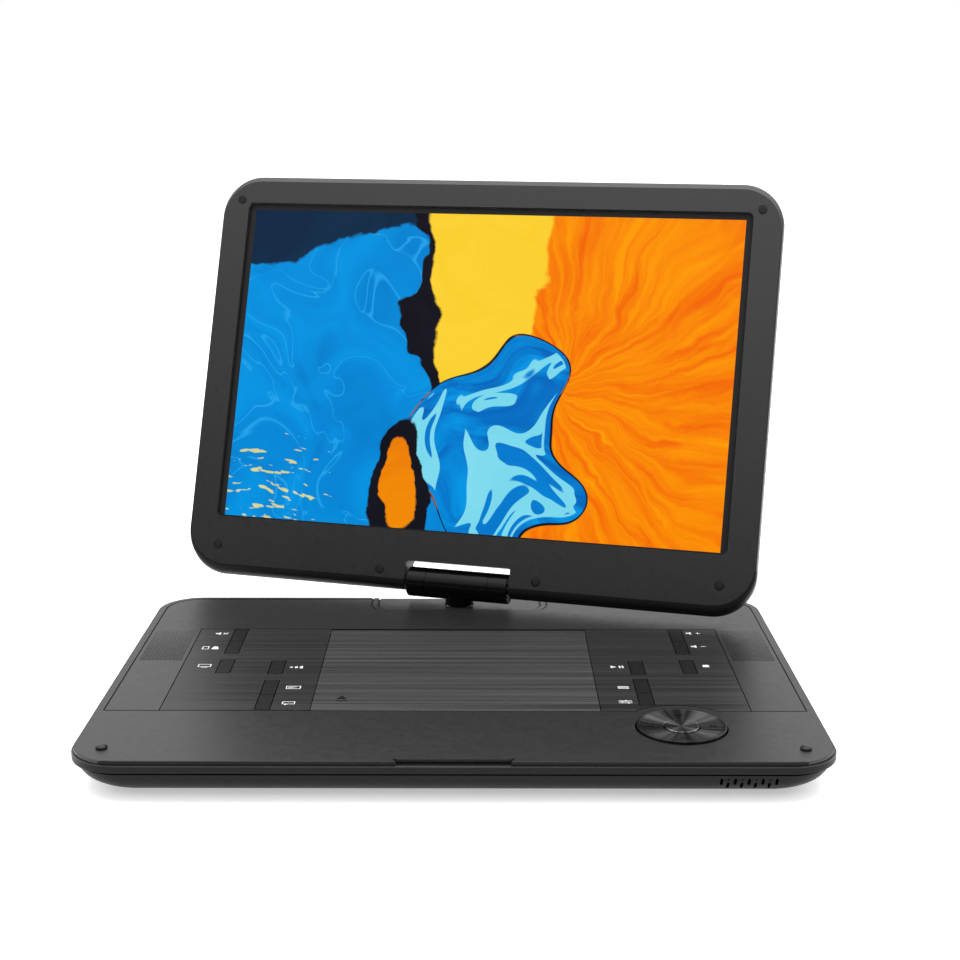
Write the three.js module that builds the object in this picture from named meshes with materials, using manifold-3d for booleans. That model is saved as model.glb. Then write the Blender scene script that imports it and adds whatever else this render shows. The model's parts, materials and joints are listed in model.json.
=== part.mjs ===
// A portable disc player: a low base with a disc well under a hinged door, two inlaid key panels,
// a four-way control ring, and a wide screen on a hinge that both swivels and tilts.
// Millimetres. +X is the viewer's right, +Y the back, +Z up.
// The origin is the centre of the base tray's flat underside; the feet reach FOOT_DROP below it.
import * as THREE from "three";
import { mergeVertices } from "three/addons/utils/BufferGeometryUtils.js";
import Module from "manifold-3d";

const wasm = await Module();
wasm.setup();

// ---------------------------------------------------------------- driving dimensions
const GAP = 0.3; // between pieces that touch
const SEAM = 0.4; // visible seam round the door and the key panels
const OVER = 1; // how far a cutting tool runs past the face it cuts

// The base.
const BASE_W = 383;
const BASE_D = 275;
const BASE_R = 26;
const DECK_Z = 21;
const COVER_T = 2;
const COVER_INSET = 1.2;
const COVER_CHAMFER = 0.5;
const FLANGE = { low: 14.8, lowChamfer: 0.7, topChamfer: 0.5, wall: 5.1, backWall: 3.3 };
const TRAY_WALL = 2.1;
const TRAY_FLOOR = 2;
const TRAY_INSET = { side: 3, front: 3, back: 1.2 }; // of the tub's top edge inside the flange
const TRAY_BELLY = { side: 26, front: 20, back: 3 }; // how far the tub draws in below that
const FOOT = { r: 7, drop: 2, pocket: 1 };
const FEET = [
  ["foot_front_left", -140, -95],
  ["foot_front_right", 140, -95],
  ["foot_rear_left", -140, 118],
  ["foot_rear_right", 140, 118],
];
const BUMPER = { x: 175, y: -119.6, r: 3, h: 2 };
const BUMPER_DOME = [
  [1, 0.15],
  [0.9, 0.6],
  [0.53, 0.9],
  [0, 1],
]; // fractions of its radius and height
const FINGER = { front: 27.2, back: 30, depth: 3.8 }; // scoop in the cover's front edge, half widths
const PILL = { x: 56.5, front: 108.4, r: 12, depth: 1 }; // recess under the hinge
const TRIM_GROOVE = { x: 185.5, back: 131.6, r: 20.4, w: 0.8, depth: 0.6 };
const VENT = { x: 145, pitch: 3.4, w: 1.5, count: 9, reach: 22 };
const VENT_LOW_ROW = [4.4, 8.8];
const VENT_HIGH_ROW = [7.2, 11.4];
const VENT_PINHOLE = { r: 0.5, z: 10.7 }; // above each slot of the low row

// The field that holds the disc door and both key panels.
const FIELD_X = 156.6;
const FIELD_FRONT = -67.5;
const FIELD_BACK = 70.2;
const DOOR_X = 76.9;

// Disc door, latch, well and drive.
const DOOR_BARREL_R = 2.2;
const DOOR_AXIS = { y: FIELD_BACK - 3, z: DECK_Z - DOOR_BARREL_R };
const DOOR_PIN = { r: 0.8, inner: 70, outer: 79.8 };
const LATCH = { x: -66, y: -57, half: 3, low: 12.9, top: 14.4, travel: 1.5, post: 2, clear: 0.4 };
const DISC_R = 60;
const DISC_Y = -2;
const WELL = { r: DISC_R + 2.5, x: 75.5, front: -67.6, back: 61, floorZ: 12.5, floorT: 2, top: 18.3 };
const LUG = { outer: 80, inset: 6, near: 7, half: 2, low: 13, armTop: 14, top: DECK_Z - 1.2 };
const PICKUP_TRAVEL = 33;
const SLOT = { x: 14, near: 12.5, far: PICKUP_TRAVEL + 30.4 }; // in front of the spindle
const SLED = { l: 16, w: 24, saddle: 8, left: -21, right: 28.5, low: 4.4, top: 9.6, lensR: 3.4 };
const ROD = { x: 17, z: 7, r: 1.5, back: DISC_Y - 9 };
const SCREW = { x: 25, r: 1.5 };
const RIB = { x: 30, t: 1.7, rear: [14.2, 20.5] }; // ribs under the well that hold the rods
const SPINDLE_MOTOR = { r: 11, top: 9, shaftR: 1, shaftTop: 12.2 };
const SLED_MOTOR = { r: 3.2, l: 14 };
const HUB = { low: 9.6, seatR: 10, seatZ: 13.6, boreR: 7.4, spigotR: 7.2, top: 16.4, tipR: 5.6 };

// Keys, key boards and control ring.
const KEY_W = 7.6;
const KEY_L = 22;
const KEY_INNER_X = 102.3;
const KEY_OUTER_X = 131.8;
const KEY_CLEAR = 0.3;
const KEY_DEEP = 3.6; // from the deck to the underside of a key
const KEY_STEM = { half: 1.5, low: 0.8, high: 0.4 };
const SHORT_KEY = "key_setup"; // the control ring's scallop takes its front end
const SHORT_KEY_CUT = 4;
const KEY_ROWS = [
  ["key_mute", -KEY_OUTER_X, 58.6],
  ["key_source", -KEY_OUTER_X, 35.9],
  ["key_picture", -KEY_OUTER_X, 2.4],
  ["key_mode", -KEY_INNER_X, 0.9],
  ["key_display", -KEY_INNER_X, -31.9],
  ["key_language", -KEY_INNER_X, -54.6],
  ["key_volume_up", KEY_OUTER_X, 58.6],
  ["key_volume_down", KEY_OUTER_X, 35.9],
  ["key_stop", KEY_OUTER_X, 2.4],
  ["key_play", KEY_INNER_X, 0.9],
  ["key_menu", KEY_INNER_X, -28.5],
  ["key_setup", KEY_INNER_X, -51.2],
];
const KEY_BOARD = { inner: 83, outer: 153, back: 66, z: 14.4, t: 1.2, pastRing: 20, inset: 4 };
const NAV = { x: 116.7, y: -90.5 };
const NAV_R = 23.2;
const NAV_RISE = 1.5;
const NAV_RIM = 0.9;
const NAV_LAND = 2; // from the edge to the inside of the raised rim
const NAV_SCALLOP_R = 31.5;
const NAV_HOLE_R = NAV_R + 0.8;
const NAV_PIVOT = { r: 5, low: 15.95, top: 16.5 };
const OK_R = 9;
const OK_CLEAR = 0.6;

// Speakers.
const GRILLE = { x: 171, y: 40, w: 25, d: 56, t: 1.2 };
const SPEAKER = { x: 170, w: 20, d: 50, low: 15.6, top: 17.6, magnetR: 8, magnetLow: 9, coneR: 8.5 };

// Boards, battery and the connectors in the rear wall.
const MAIN_BOARD = { left: -112, right: 80, front: 76, back: 110, z: 5, t: 1.6 };
const BATTERY = { left: -126, right: 60, front: -109, back: -70, r: 3, top: 17.2 };
const JACK_Z = 8.5;
const JACKS = [
  { name: "dc_jack", x: 126, hole: 3.2, bore: 2.8, half: 4.6, length: 12, deep: 9, pin: 0.8 },
  { name: "av_jack", x: 108, hole: 2.7, bore: 1.8, half: 3.9, length: 13, deep: 12, pin: 0 },
  { name: "headphone_jack", x: 93, hole: 2.7, bore: 1.8, half: 3.9, length: 13, deep: 12, pin: 0 },
];
const USB = { x: -122, z: 8.6, w: 13.2, h: 5.8, wall: 0.5, deep: 14, clear: 0.2 };
const USB_TONGUE = { half: 5.4, low: 0.3, high: 1.7, front: 2 };
const POWER = { x: -92, z: 8.6, w: 11, h: 3.6, knob: 5, travel: 4, plate: 4.5, plateH: 2.6, plateT: 3 };

// Hinge.
const HINGE_Y = 125.8;
const HINGE_Z = DECK_Z + 11.5; // height of the tilt axis
const BARREL_R = 8;
const BARREL_L = 67;
const COLLAR_R = 9;
const SHAFT_R = 5;
const SHAFT_LOW = 6;
const SPIGOT_R = 6;
const SPIGOT_TOP = HINGE_Z - BARREL_R + 3.4;
const SOCKET = { r: 7.3, low: 5, plateX: 24, plateFront: 12, plateBack: 2, plateLow: 13.4 };
const PIN = { r: 3, in: 7.4, deep: 8, out: 43 };
const SWIVEL_DEG = -16.5; // at rest the screen is turned towards the viewer's left
const LEAN_DEG = 18.4; // and leans back

// Lid: X across, then up the screen from the tilt axis, then depth behind that axis.
const LID_W = 378;
const LID_BOTTOM = -6;
const LID_TOP = 264;
const LID_R = 27;
const LID_FACE = -8.4;
const LID_BACK = 8.6;
const BEZEL_T = 2.6;
const LID_WALL = 2.2;
const WINDOW = { w: 339.2, low: 32.4, high: 245.2, r: 3 };
const LCD = { w: 347, low: 25.5, high: 249.5, t: 5 };
const NOTCH_X = 34.8;
const NOTCH_TOP = 13;
const BOSS_X = 47;
const LID_BOARD = { left: 56, right: 156, low: 1.5, high: 18, t: 1.6 };

// ---------------------------------------------------------------- materials
const finish = (color, roughness, metalness) =>
  new THREE.MeshStandardMaterial({ color, roughness, metalness });

const SHELL = () => finish(0x3c3d3f, 0.55, 0.1);
const BRUSHED = () => finish(0x48494b, 0.4, 0.6);
const PANEL = () => finish(0x2b2c2e, 0.42, 0.5);
const KEYCAP = () => finish(0x222325, 0.5, 0.1);
const GLOSS_BLACK = () => finish(0x0b0b0c, 0.15, 0);
const BLACK = () => finish(0x151516, 0.6, 0);
const RUBBER = () => finish(0x1a1a1b, 0.85, 0);
const STEEL = () => finish(0xb4b6b8, 0.3, 1);
const SPUN_METAL = () => finish(0x55575a, 0.3, 0.9);
const BOARD = () => finish(0x1e5a35, 0.6, 0);
const CELL = () => finish(0x2c3a55, 0.5, 0);
const SCREEN = () => finish(0x2868b4, 0.2, 0);

// ---------------------------------------------------------------- shape helpers
// A closed geometry as a manifold-3d solid.
function solid(geometry) {
  const bare = geometry.clone();
  bare.deleteAttribute("normal");
  bare.deleteAttribute("uv");
  const merged = mergeVertices(bare, 1e-4);
  return new wasm.Manifold(
    new wasm.Mesh({
      numProp: 3,
      vertProperties: merged.attributes.position.array,
      triVerts: new Uint32Array(merged.index.array),
    }),
  );
}

function toGeometry(body) {
  const made = body.getMesh();
  return new THREE.BufferGeometry()
    .setAttribute("position", new THREE.BufferAttribute(new Float32Array(made.vertProperties), 3))
    .setIndex(new THREE.BufferAttribute(new Uint32Array(made.triVerts), 1));
}

const join = (first, ...rest) => rest.reduce((sum, body) => sum.add(body), first);
const cut = (first, ...rest) => rest.reduce((left, body) => left.subtract(body), first);

// A box between two opposite corners.
function block(x0, x1, y0, y1, z0, z1) {
  const geometry = new THREE.BoxGeometry(x1 - x0, y1 - y0, z1 - z0);
  return solid(geometry.translate((x0 + x1) / 2, (y0 + y1) / 2, (z0 + z1) / 2));
}

// A box centred on (x, y), half that wide and deep on each side.
const pillar = (x, y, halfX, halfY, z0, z1) => block(x - halfX, x + halfX, y - halfY, y + halfY, z0, z1);

// An upright cylinder.
function post(x, y, r, z0, z1, sides = 32) {
  const geometry = new THREE.CylinderGeometry(r, r, z1 - z0, sides);
  return solid(geometry.rotateX(Math.PI / 2).translate(x, y, (z0 + z1) / 2));
}

// A cylinder along X.
function rodX(y, z, r, x0, x1, sides = 24) {
  const geometry = new THREE.CylinderGeometry(r, r, x1 - x0, sides);
  return solid(geometry.rotateZ(Math.PI / 2).translate((x0 + x1) / 2, y, z));
}

// A cylinder along Y.
function rodY(x, z, r, y0, y1, sides = 20) {
  return solid(new THREE.CylinderGeometry(r, r, y1 - y0, sides).translate(x, (y0 + y1) / 2, z));
}

function roundedShape(x0, x1, y0, y1, r) {
  const shape = new THREE.Shape();
  shape.moveTo(x0 + r, y0);
  shape.lineTo(x1 - r, y0);
  shape.absarc(x1 - r, y0 + r, r, -Math.PI / 2, 0);
  shape.lineTo(x1, y1 - r);
  shape.absarc(x1 - r, y1 - r, r, 0, Math.PI / 2);
  shape.lineTo(x0 + r, y1);
  shape.absarc(x0 + r, y1 - r, r, Math.PI / 2, Math.PI);
  shape.lineTo(x0, y0 + r);
  shape.absarc(x0 + r, y0 + r, r, Math.PI, 1.5 * Math.PI);
  return shape;
}

// A shape drawn in XY, extruded from z0 to z1.
function slab(shape, z0, z1, curveSegments = 6) {
  const options = { depth: z1 - z0, bevelEnabled: false, curveSegments };
  return solid(new THREE.ExtrudeGeometry(shape, options).translate(0, 0, z0));
}

const roundedSlab = (x0, x1, y0, y1, r, z0, z1) => slab(roundedShape(x0, x1, y0, y1, r), z0, z1);

// A solid of revolution about Z through (x, y); the profile lists [radius, height] points.
function turned(x, y, profile, sides = 48) {
  const points = profile.map(([radius, height]) => new THREE.Vector2(radius, height));
  return solid(new THREE.LatheGeometry(points, sides).rotateX(Math.PI / 2).translate(x, y, 0));
}

const CORNER_STEPS = 6;

// One rounded-rectangle loop of points at height z, anticlockwise from above.
function loop({ x0, x1, y0, y1, r, z }) {
  const corners = [
    [x1 - r, y0 + r, -90],
    [x1 - r, y1 - r, 0],
    [x0 + r, y1 - r, 90],
    [x0 + r, y0 + r, 180],
  ];
  return corners.flatMap(([cx, cy, start]) =>
    Array.from({ length: CORNER_STEPS + 1 }, (_, step) => {
      const angle = THREE.MathUtils.degToRad(start + (90 * step) / CORNER_STEPS);
      return [cx + r * Math.cos(angle), cy + r * Math.sin(angle), z];
    }),
  );
}

// A closed solid through loops listed from the lowest to the highest, with flat ends.
function loft(rings) {
  const loops = rings.map(loop);
  const count = loops[0].length;
  const faces = [];
  for (let level = 0; level + 1 < loops.length; level++) {
    for (let i = 0; i < count; i++) {
      const a = level * count + i;
      const b = level * count + ((i + 1) % count);
      faces.push(a, b, b + count, a, b + count, a + count);
    }
  }
  const top = (loops.length - 1) * count;
  for (let i = 1; i + 1 < count; i++) {
    faces.push(0, i + 1, i, top, top + i, top + i + 1);
  }
  const geometry = new THREE.BufferGeometry();
  geometry.setAttribute("position", new THREE.Float32BufferAttribute(loops.flat(2), 3));
  geometry.setIndex(faces);
  return solid(geometry);
}

// ---------------------------------------------------------------- scene graph
const player = new THREE.Group();

const swivel = new THREE.Group();
swivel.position.set(0, HINGE_Y, 0);
swivel.rotation.z = THREE.MathUtils.degToRad(SWIVEL_DEG);
player.add(swivel);

// The lid's own frame: origin on the tilt axis, Z up along the screen, -Y out of its face.
const lid = new THREE.Group();
lid.position.set(0, 0, HINGE_Z);
lid.rotation.x = -THREE.MathUtils.degToRad(LEAN_DEG);
swivel.add(lid);

function place(group, name, body, material) {
  const mesh = new THREE.Mesh(toGeometry(body), material);
  mesh.name = name;
  group.add(mesh);
}

const SIDES = [-1, 1];
const MIRRORED = [
  ["left", -1],
  ["right", 1],
];

// A box and a rod on one side of the centre plane; their X limits are given for the right side.
function sideBlock(side, x0, x1, y0, y1, z0, z1) {
  return side > 0 ? block(x0, x1, y0, y1, z0, z1) : block(-x1, -x0, y0, y1, z0, z1);
}

function sideRodX(side, y, z, r, x0, x1, sides) {
  return side > 0 ? rodX(y, z, r, x0, x1, sides) : rodX(y, z, r, -x1, -x0, sides);
}

// ---------------------------------------------------------------- base tray
const FLANGE_TOP_Z = DECK_Z - COVER_T - GAP;
const BELLY_STEPS = 5;
const REAR_IN = BASE_D / 2 - TRAY_INSET.back - TRAY_BELLY.back - TRAY_WALL;
const REAR_OUT = BASE_D / 2 + OVER;

// The base's outline at one height, drawn in by different amounts at the sides, front and back.
function baseRing(z, side, front, back, radius) {
  return {
    x0: -BASE_W / 2 + side,
    x1: BASE_W / 2 - side,
    y0: -BASE_D / 2 + front,
    y1: BASE_D / 2 - back,
    r: radius,
    z,
  };
}

const evenRing = (z, inset) => baseRing(z, inset, inset, inset, BASE_R - inset);

// The tub's quarter-ellipse belly, from z0 up to the flange, wall millimetres inside its outer skin.
function belly(z0, wall) {
  return Array.from({ length: BELLY_STEPS + 1 }, (_, step) => {
    const angle = (step / BELLY_STEPS) * (Math.PI / 2);
    const drawn = 1 - Math.sin(angle);
    return baseRing(
      z0 + (FLANGE.low - z0) * (1 - Math.cos(angle)),
      TRAY_INSET.side + wall + TRAY_BELLY.side * drawn,
      TRAY_INSET.front + wall + TRAY_BELLY.front * drawn,
      TRAY_INSET.back + wall + TRAY_BELLY.back * drawn,
      BASE_R - TRAY_INSET.side - wall - (BASE_R / 3) * drawn,
    );
  });
}

// Two staggered rows of slots in the front of the tub, with a pinhole over each low one.
function ventCuts() {
  const front = -BASE_D / 2;
  const back = front + VENT.reach;
  return Array.from({ length: VENT.count }, (_, i) => {
    const x = VENT.x + (i - (VENT.count - 1) / 2) * VENT.pitch;
    const isLow = i % 2 === 1;
    const [low, high] = isLow ? VENT_LOW_ROW : VENT_HIGH_ROW;
    const slot = block(x - VENT.w / 2, x + VENT.w / 2, front, back, low, high);
    return isLow ? join(slot, rodY(x, VENT_PINHOLE.z, VENT_PINHOLE.r, front, back)) : slot;
  });
}

// Holes in the rear wall for the sockets and the power slider.
function rearCuts() {
  const usbX = USB.w / 2 + USB.clear;
  const usbZ = USB.h / 2 + USB.clear;
  const powerX = POWER.w / 2;
  const powerZ = POWER.h / 2;
  return [
    ...JACKS.map(({ x, hole }) => rodY(x, JACK_Z, hole, REAR_IN - OVER, REAR_OUT)),
    block(USB.x - usbX, USB.x + usbX, REAR_IN - OVER, REAR_OUT, USB.z - usbZ, USB.z + usbZ),
    block(POWER.x - powerX, POWER.x + powerX, REAR_IN - OVER, REAR_OUT, POWER.z - powerZ, POWER.z + powerZ),
  ];
}

function baseTray() {
  const flange = loft([
    evenRing(FLANGE.low, FLANGE.lowChamfer),
    evenRing(FLANGE.low + FLANGE.lowChamfer, 0),
    evenRing(FLANGE_TOP_Z - FLANGE.topChamfer, 0),
    evenRing(FLANGE_TOP_Z, FLANGE.topChamfer),
  ]);
  const mouth = (z) => baseRing(z, FLANGE.wall, FLANGE.wall, FLANGE.backWall, BASE_R - FLANGE.wall);
  const hollow = join(
    loft(belly(TRAY_FLOOR, TRAY_WALL)),
    loft([mouth(FLANGE.low), mouth(FLANGE_TOP_Z + OVER)]),
  );
  const footPockets = FEET.map(([, x, y]) => post(x, y, FOOT.r + GAP, -OVER, FOOT.pocket));
  return cut(
    join(loft(belly(0, 0)), flange),
    hollow,
    ...ventCuts(),
    ...footPockets,
    ...rearCuts(),
  );
}

place(player, "base_tray", baseTray(), SHELL());
for (const [name, x, y] of FEET) {
  place(player, name, post(x, y, FOOT.r, -FOOT.drop, FOOT.pocket - GAP, 24), RUBBER());
}

// ---------------------------------------------------------------- top cover
const COVER_LOW_Z = DECK_Z - COVER_T;

// The opening for the door and key panels; its front edge bulges in round the control ring.
function fieldShape(x0, x1, gap) {
  const y0 = FIELD_FRONT + gap;
  const y1 = FIELD_BACK - gap;
  const radius = NAV_SCALLOP_R + gap;
  const half = Math.sqrt(radius ** 2 - (y0 - NAV.y) ** 2);
  const shape = new THREE.Shape();
  shape.moveTo(x0, y0);
  if (x1 > NAV.x) {
    const start = Math.atan2(y0 - NAV.y, -half);
    const end = Math.atan2(y0 - NAV.y, half);
    shape.lineTo(NAV.x - half, y0);
    shape.absarc(NAV.x, NAV.y, radius, start, end, true);
  }
  shape.lineTo(x1, y0);
  shape.lineTo(x1, y1);
  shape.lineTo(x0, y1);
  return shape;
}

// A thin groove up both sides and round the rear corners, with a spur to each end of the field's front.
function trimGroove() {
  const low = DECK_Z - TRIM_GROOVE.depth;
  const high = DECK_Z + OVER;
  const half = TRIM_GROOVE.w / 2;
  const { x, back, r } = TRIM_GROOVE;
  const outer = roundedSlab(-x - half, x + half, -BASE_D, back + half, r + half, low, high);
  const island = roundedShape(-x + half, x - half, -BASE_D - OVER, back - half, r - half);
  const inner = slab(island, low - OVER, high + OVER);
  const front = FIELD_FRONT - half;
  const ring = cut(outer, inner).intersect(block(-BASE_W, BASE_W, front, BASE_D, low - OVER, high + OVER));
  const spurs = SIDES.map((side) => sideBlock(side, FIELD_X - OVER, x, front, front + 2 * half, low, high));
  return join(ring, ...spurs);
}

// The finger scoop in the cover's front edge.
function fingerScoop() {
  const shape = new THREE.Shape();
  const lip = -BASE_D / 2 + COVER_INSET + FINGER.depth;
  shape.moveTo(-FINGER.front, -BASE_D / 2 - OVER);
  shape.lineTo(FINGER.front, -BASE_D / 2 - OVER);
  shape.lineTo(FINGER.back, lip);
  shape.lineTo(-FINGER.back, lip);
  return slab(shape, COVER_LOW_Z - OVER, DECK_Z + OVER);
}

function topCover() {
  const plate = loft([
    evenRing(COVER_LOW_Z, COVER_INSET),
    evenRing(DECK_Z - COVER_CHAMFER, COVER_INSET),
    evenRing(DECK_Z, COVER_INSET + COVER_CHAMFER),
  ]);
  const below = COVER_LOW_Z - OVER;
  const above = DECK_Z + OVER;
  const grilleX = [GRILLE.x - GRILLE.w / 2, GRILLE.x + GRILLE.w / 2];
  const grilleY = [GRILLE.y - GRILLE.d / 2, GRILLE.y + GRILLE.d / 2];
  return cut(
    plate,
    slab(fieldShape(-FIELD_X, FIELD_X, 0), below, above, 12),
    post(NAV.x, NAV.y, NAV_HOLE_R, below, above, 48),
    ...SIDES.map((side) => sideBlock(side, ...grilleX, ...grilleY, below, above)),
    roundedSlab(-PILL.x, PILL.x, PILL.front, BASE_D / 2 + 2 * PILL.r, PILL.r, DECK_Z - PILL.depth, above),
    post(0, HINGE_Y, SHAFT_R + GAP, below, above),
    fingerScoop(),
    trimGroove(),
  );
}

place(player, "top_cover", topCover(), SHELL());

// A soft dome that the closed lid lands on.
function bumper(side) {
  const profile = [
    [0, DECK_Z + BUMPER_DOME[0][1] * BUMPER.h],
    ...BUMPER_DOME.map(([reach, rise]) => [reach * BUMPER.r, DECK_Z + rise * BUMPER.h]),
  ];
  return turned(side * BUMPER.x, BUMPER.y, profile, 16);
}

for (const [name, side] of MIRRORED) {
  place(player, `deck_bumper_${name}`, bumper(side), RUBBER());
}

// ---------------------------------------------------------------- speakers
function grille(side) {
  const halfX = GRILLE.w / 2 - GAP;
  const halfY = GRILLE.d / 2 - GAP;
  return pillar(side * GRILLE.x, GRILLE.y, halfX, halfY, DECK_Z - GRILLE.t, DECK_Z);
}

function speaker(side) {
  const x = side * SPEAKER.x;
  const basket = pillar(x, GRILLE.y, SPEAKER.w / 2, SPEAKER.d / 2, SPEAKER.low, SPEAKER.top);
  const magnet = post(x, GRILLE.y, SPEAKER.magnetR, SPEAKER.magnetLow, SPEAKER.low + GAP, 24);
  const cone = post(x, GRILLE.y, SPEAKER.coneR, SPEAKER.low + OVER, SPEAKER.top + OVER, 24);
  return cut(join(basket, magnet), cone);
}

for (const [name, side] of MIRRORED) {
  place(player, `speaker_grille_${name}`, grille(side), SHELL());
  place(player, `speaker_${name}`, speaker(side), BLACK());
}

// ---------------------------------------------------------------- keys and key panels
// One key's outline, grown on every side for the hole that it sits in.
function keyBody(name, x, y, grow, z0, z1) {
  const front = name === SHORT_KEY ? SHORT_KEY_CUT : 0;
  const half = KEY_W / 2 + grow;
  return block(x - half, x + half, y - KEY_L / 2 + front - grow, y + KEY_L / 2 + grow, z0, z1);
}

function keyPanel(side) {
  const shape =
    side > 0
      ? fieldShape(DOOR_X + SEAM / 2, FIELD_X - SEAM, SEAM)
      : fieldShape(-FIELD_X + SEAM, -DOOR_X - SEAM / 2, SEAM);
  const holes = KEY_ROWS.filter(([, x]) => x * side > 0).map(([key, x, y]) =>
    keyBody(key, x, y, KEY_CLEAR, COVER_LOW_Z - OVER, DECK_Z + OVER),
  );
  const lugRoom = sideBlock(
    side,
    DOOR_X,
    LUG.outer + OVER,
    FIELD_BACK - LUG.inset,
    FIELD_BACK,
    COVER_LOW_Z - OVER,
    LUG.top + GAP,
  );
  return cut(slab(shape, COVER_LOW_Z, DECK_Z, 12), lugRoom, ...holes);
}

function keyBoard(side) {
  const front = side > 0 ? NAV.y - KEY_BOARD.pastRing : FIELD_FRONT + KEY_BOARD.inset;
  const { inner, outer, back, z, t } = KEY_BOARD;
  return sideBlock(side, inner, outer, front, back, z, z + t);
}

function key(name, x, y) {
  const low = DECK_Z - KEY_DEEP;
  const stem = pillar(x, y, KEY_STEM.half, KEY_STEM.half, low - KEY_STEM.low, low + KEY_STEM.high);
  return join(keyBody(name, x, y, 0, low, DECK_Z), stem);
}

for (const [name, side] of MIRRORED) {
  place(player, `key_panel_${name}`, keyPanel(side), PANEL());
  place(player, `key_board_${name}`, keyBoard(side), BOARD());
}
for (const [name, x, y] of KEY_ROWS) {
  place(player, name, key(name, x, y), KEYCAP());
}

// ---------------------------------------------------------------- control ring
function controlRing() {
  const low = DECK_Z - KEY_DEEP;
  const bore = OK_R + OK_CLEAR;
  return turned(NAV.x, NAV.y, [
    [bore, low],
    [NAV_R, low],
    [NAV_R, DECK_Z + NAV_RISE - NAV_RIM],
    [NAV_R - NAV_RIM, DECK_Z + NAV_RISE],
    [NAV_R - NAV_LAND, DECK_Z + NAV_RISE],
    [bore + GAP, DECK_Z + NAV_RISE / 3],
    [bore, DECK_Z + NAV_RISE / 3 - GAP],
    [bore, low],
  ]);
}

// The key in the middle, slightly dished.
function okKey() {
  const profile = [
    [0, DECK_Z - KEY_DEEP],
    [OK_R, DECK_Z - KEY_DEEP],
    [OK_R, DECK_Z + NAV_RISE / 3],
    [OK_R - 1, DECK_Z + (2 * NAV_RISE) / 3],
    [0, DECK_Z + NAV_RISE / 2],
  ];
  return turned(NAV.x, NAV.y, profile, 36);
}

place(player, "nav_pivot", post(NAV.x, NAV.y, NAV_PIVOT.r, NAV_PIVOT.low, NAV_PIVOT.top, 24), BLACK());
place(player, "nav_ring", controlRing(), SPUN_METAL());
place(player, "nav_ok_key", okKey(), SPUN_METAL());

// ---------------------------------------------------------------- disc door
const DOOR_FRONT = FIELD_FRONT + SEAM;
const DOOR_HALF = DOOR_X - SEAM / 2;

// The door's section in (y, z): a flat plate that ends in a half-round hinge barrel.
function doorSection() {
  const shape = new THREE.Shape();
  const rise = COVER_LOW_Z - DOOR_AXIS.z;
  shape.moveTo(DOOR_FRONT, COVER_LOW_Z);
  shape.lineTo(DOOR_AXIS.y - Math.sqrt(DOOR_BARREL_R ** 2 - rise ** 2), COVER_LOW_Z);
  shape.absarc(
    DOOR_AXIS.y,
    DOOR_AXIS.z,
    DOOR_BARREL_R,
    Math.PI - Math.asin(rise / DOOR_BARREL_R),
    2.5 * Math.PI,
  );
  shape.lineTo(DOOR_FRONT, DECK_Z);
  return shape;
}

function discDoor() {
  const options = { depth: 2 * DOOR_HALF, bevelEnabled: false, curveSegments: 14 };
  const leaf = solid(
    new THREE.ExtrudeGeometry(doorSection(), options)
      .translate(0, 0, -DOOR_HALF)
      .rotateY(Math.PI / 2)
      .rotateX(Math.PI / 2),
  );
  const postLow = LATCH.top + LATCH.clear;
  const latchPost = pillar(LATCH.x, LATCH.y, LATCH.post, LATCH.post, postLow, COVER_LOW_Z + OVER / 2);
  const bores = SIDES.map((side) =>
    sideRodX(side, DOOR_AXIS.y, DOOR_AXIS.z, DOOR_PIN.r + GAP, DOOR_PIN.inner - GAP, DOOR_HALF + OVER, 12),
  );
  return cut(join(leaf, latchPost), ...bores);
}

place(player, "disc_door", discDoor(), BRUSHED());
for (const [name, side] of MIRRORED) {
  const pin = sideRodX(side, DOOR_AXIS.y, DOOR_AXIS.z, DOOR_PIN.r, DOOR_PIN.inner, DOOR_PIN.outer, 12);
  place(player, `door_pin_${name}`, pin, STEEL());
}

// ---------------------------------------------------------------- disc well and drive
const RAIL_FRONT = DISC_Y - SLOT.far - 0.5;
const DRIVE_FLOOR = TRAY_FLOOR + GAP;
const WELL_LOW_Z = WELL.floorZ - WELL.floorT;
const SLED_Y = DISC_Y - SLOT.near - 2 * GAP - SLED.l / 2;

place(
  player,
  "latch_plunger",
  pillar(LATCH.x, LATCH.y, LATCH.half, LATCH.half, LATCH.low, LATCH.top),
  BLACK(),
);

// An arm and an ear at each rear corner of the well carry the door's pins.
function doorLug(side) {
  const { y } = DOOR_AXIS;
  const armIn = WELL.x - LUG.inset;
  const arm = sideBlock(side, armIn, LUG.outer, y - LUG.near, y + LUG.half, WELL_LOW_Z, LUG.armTop);
  const ear = sideBlock(side, DOOR_X + 2 * GAP, LUG.outer, y - LUG.half, y + LUG.half, LUG.low, LUG.top);
  return join(arm, ear);
}

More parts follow.
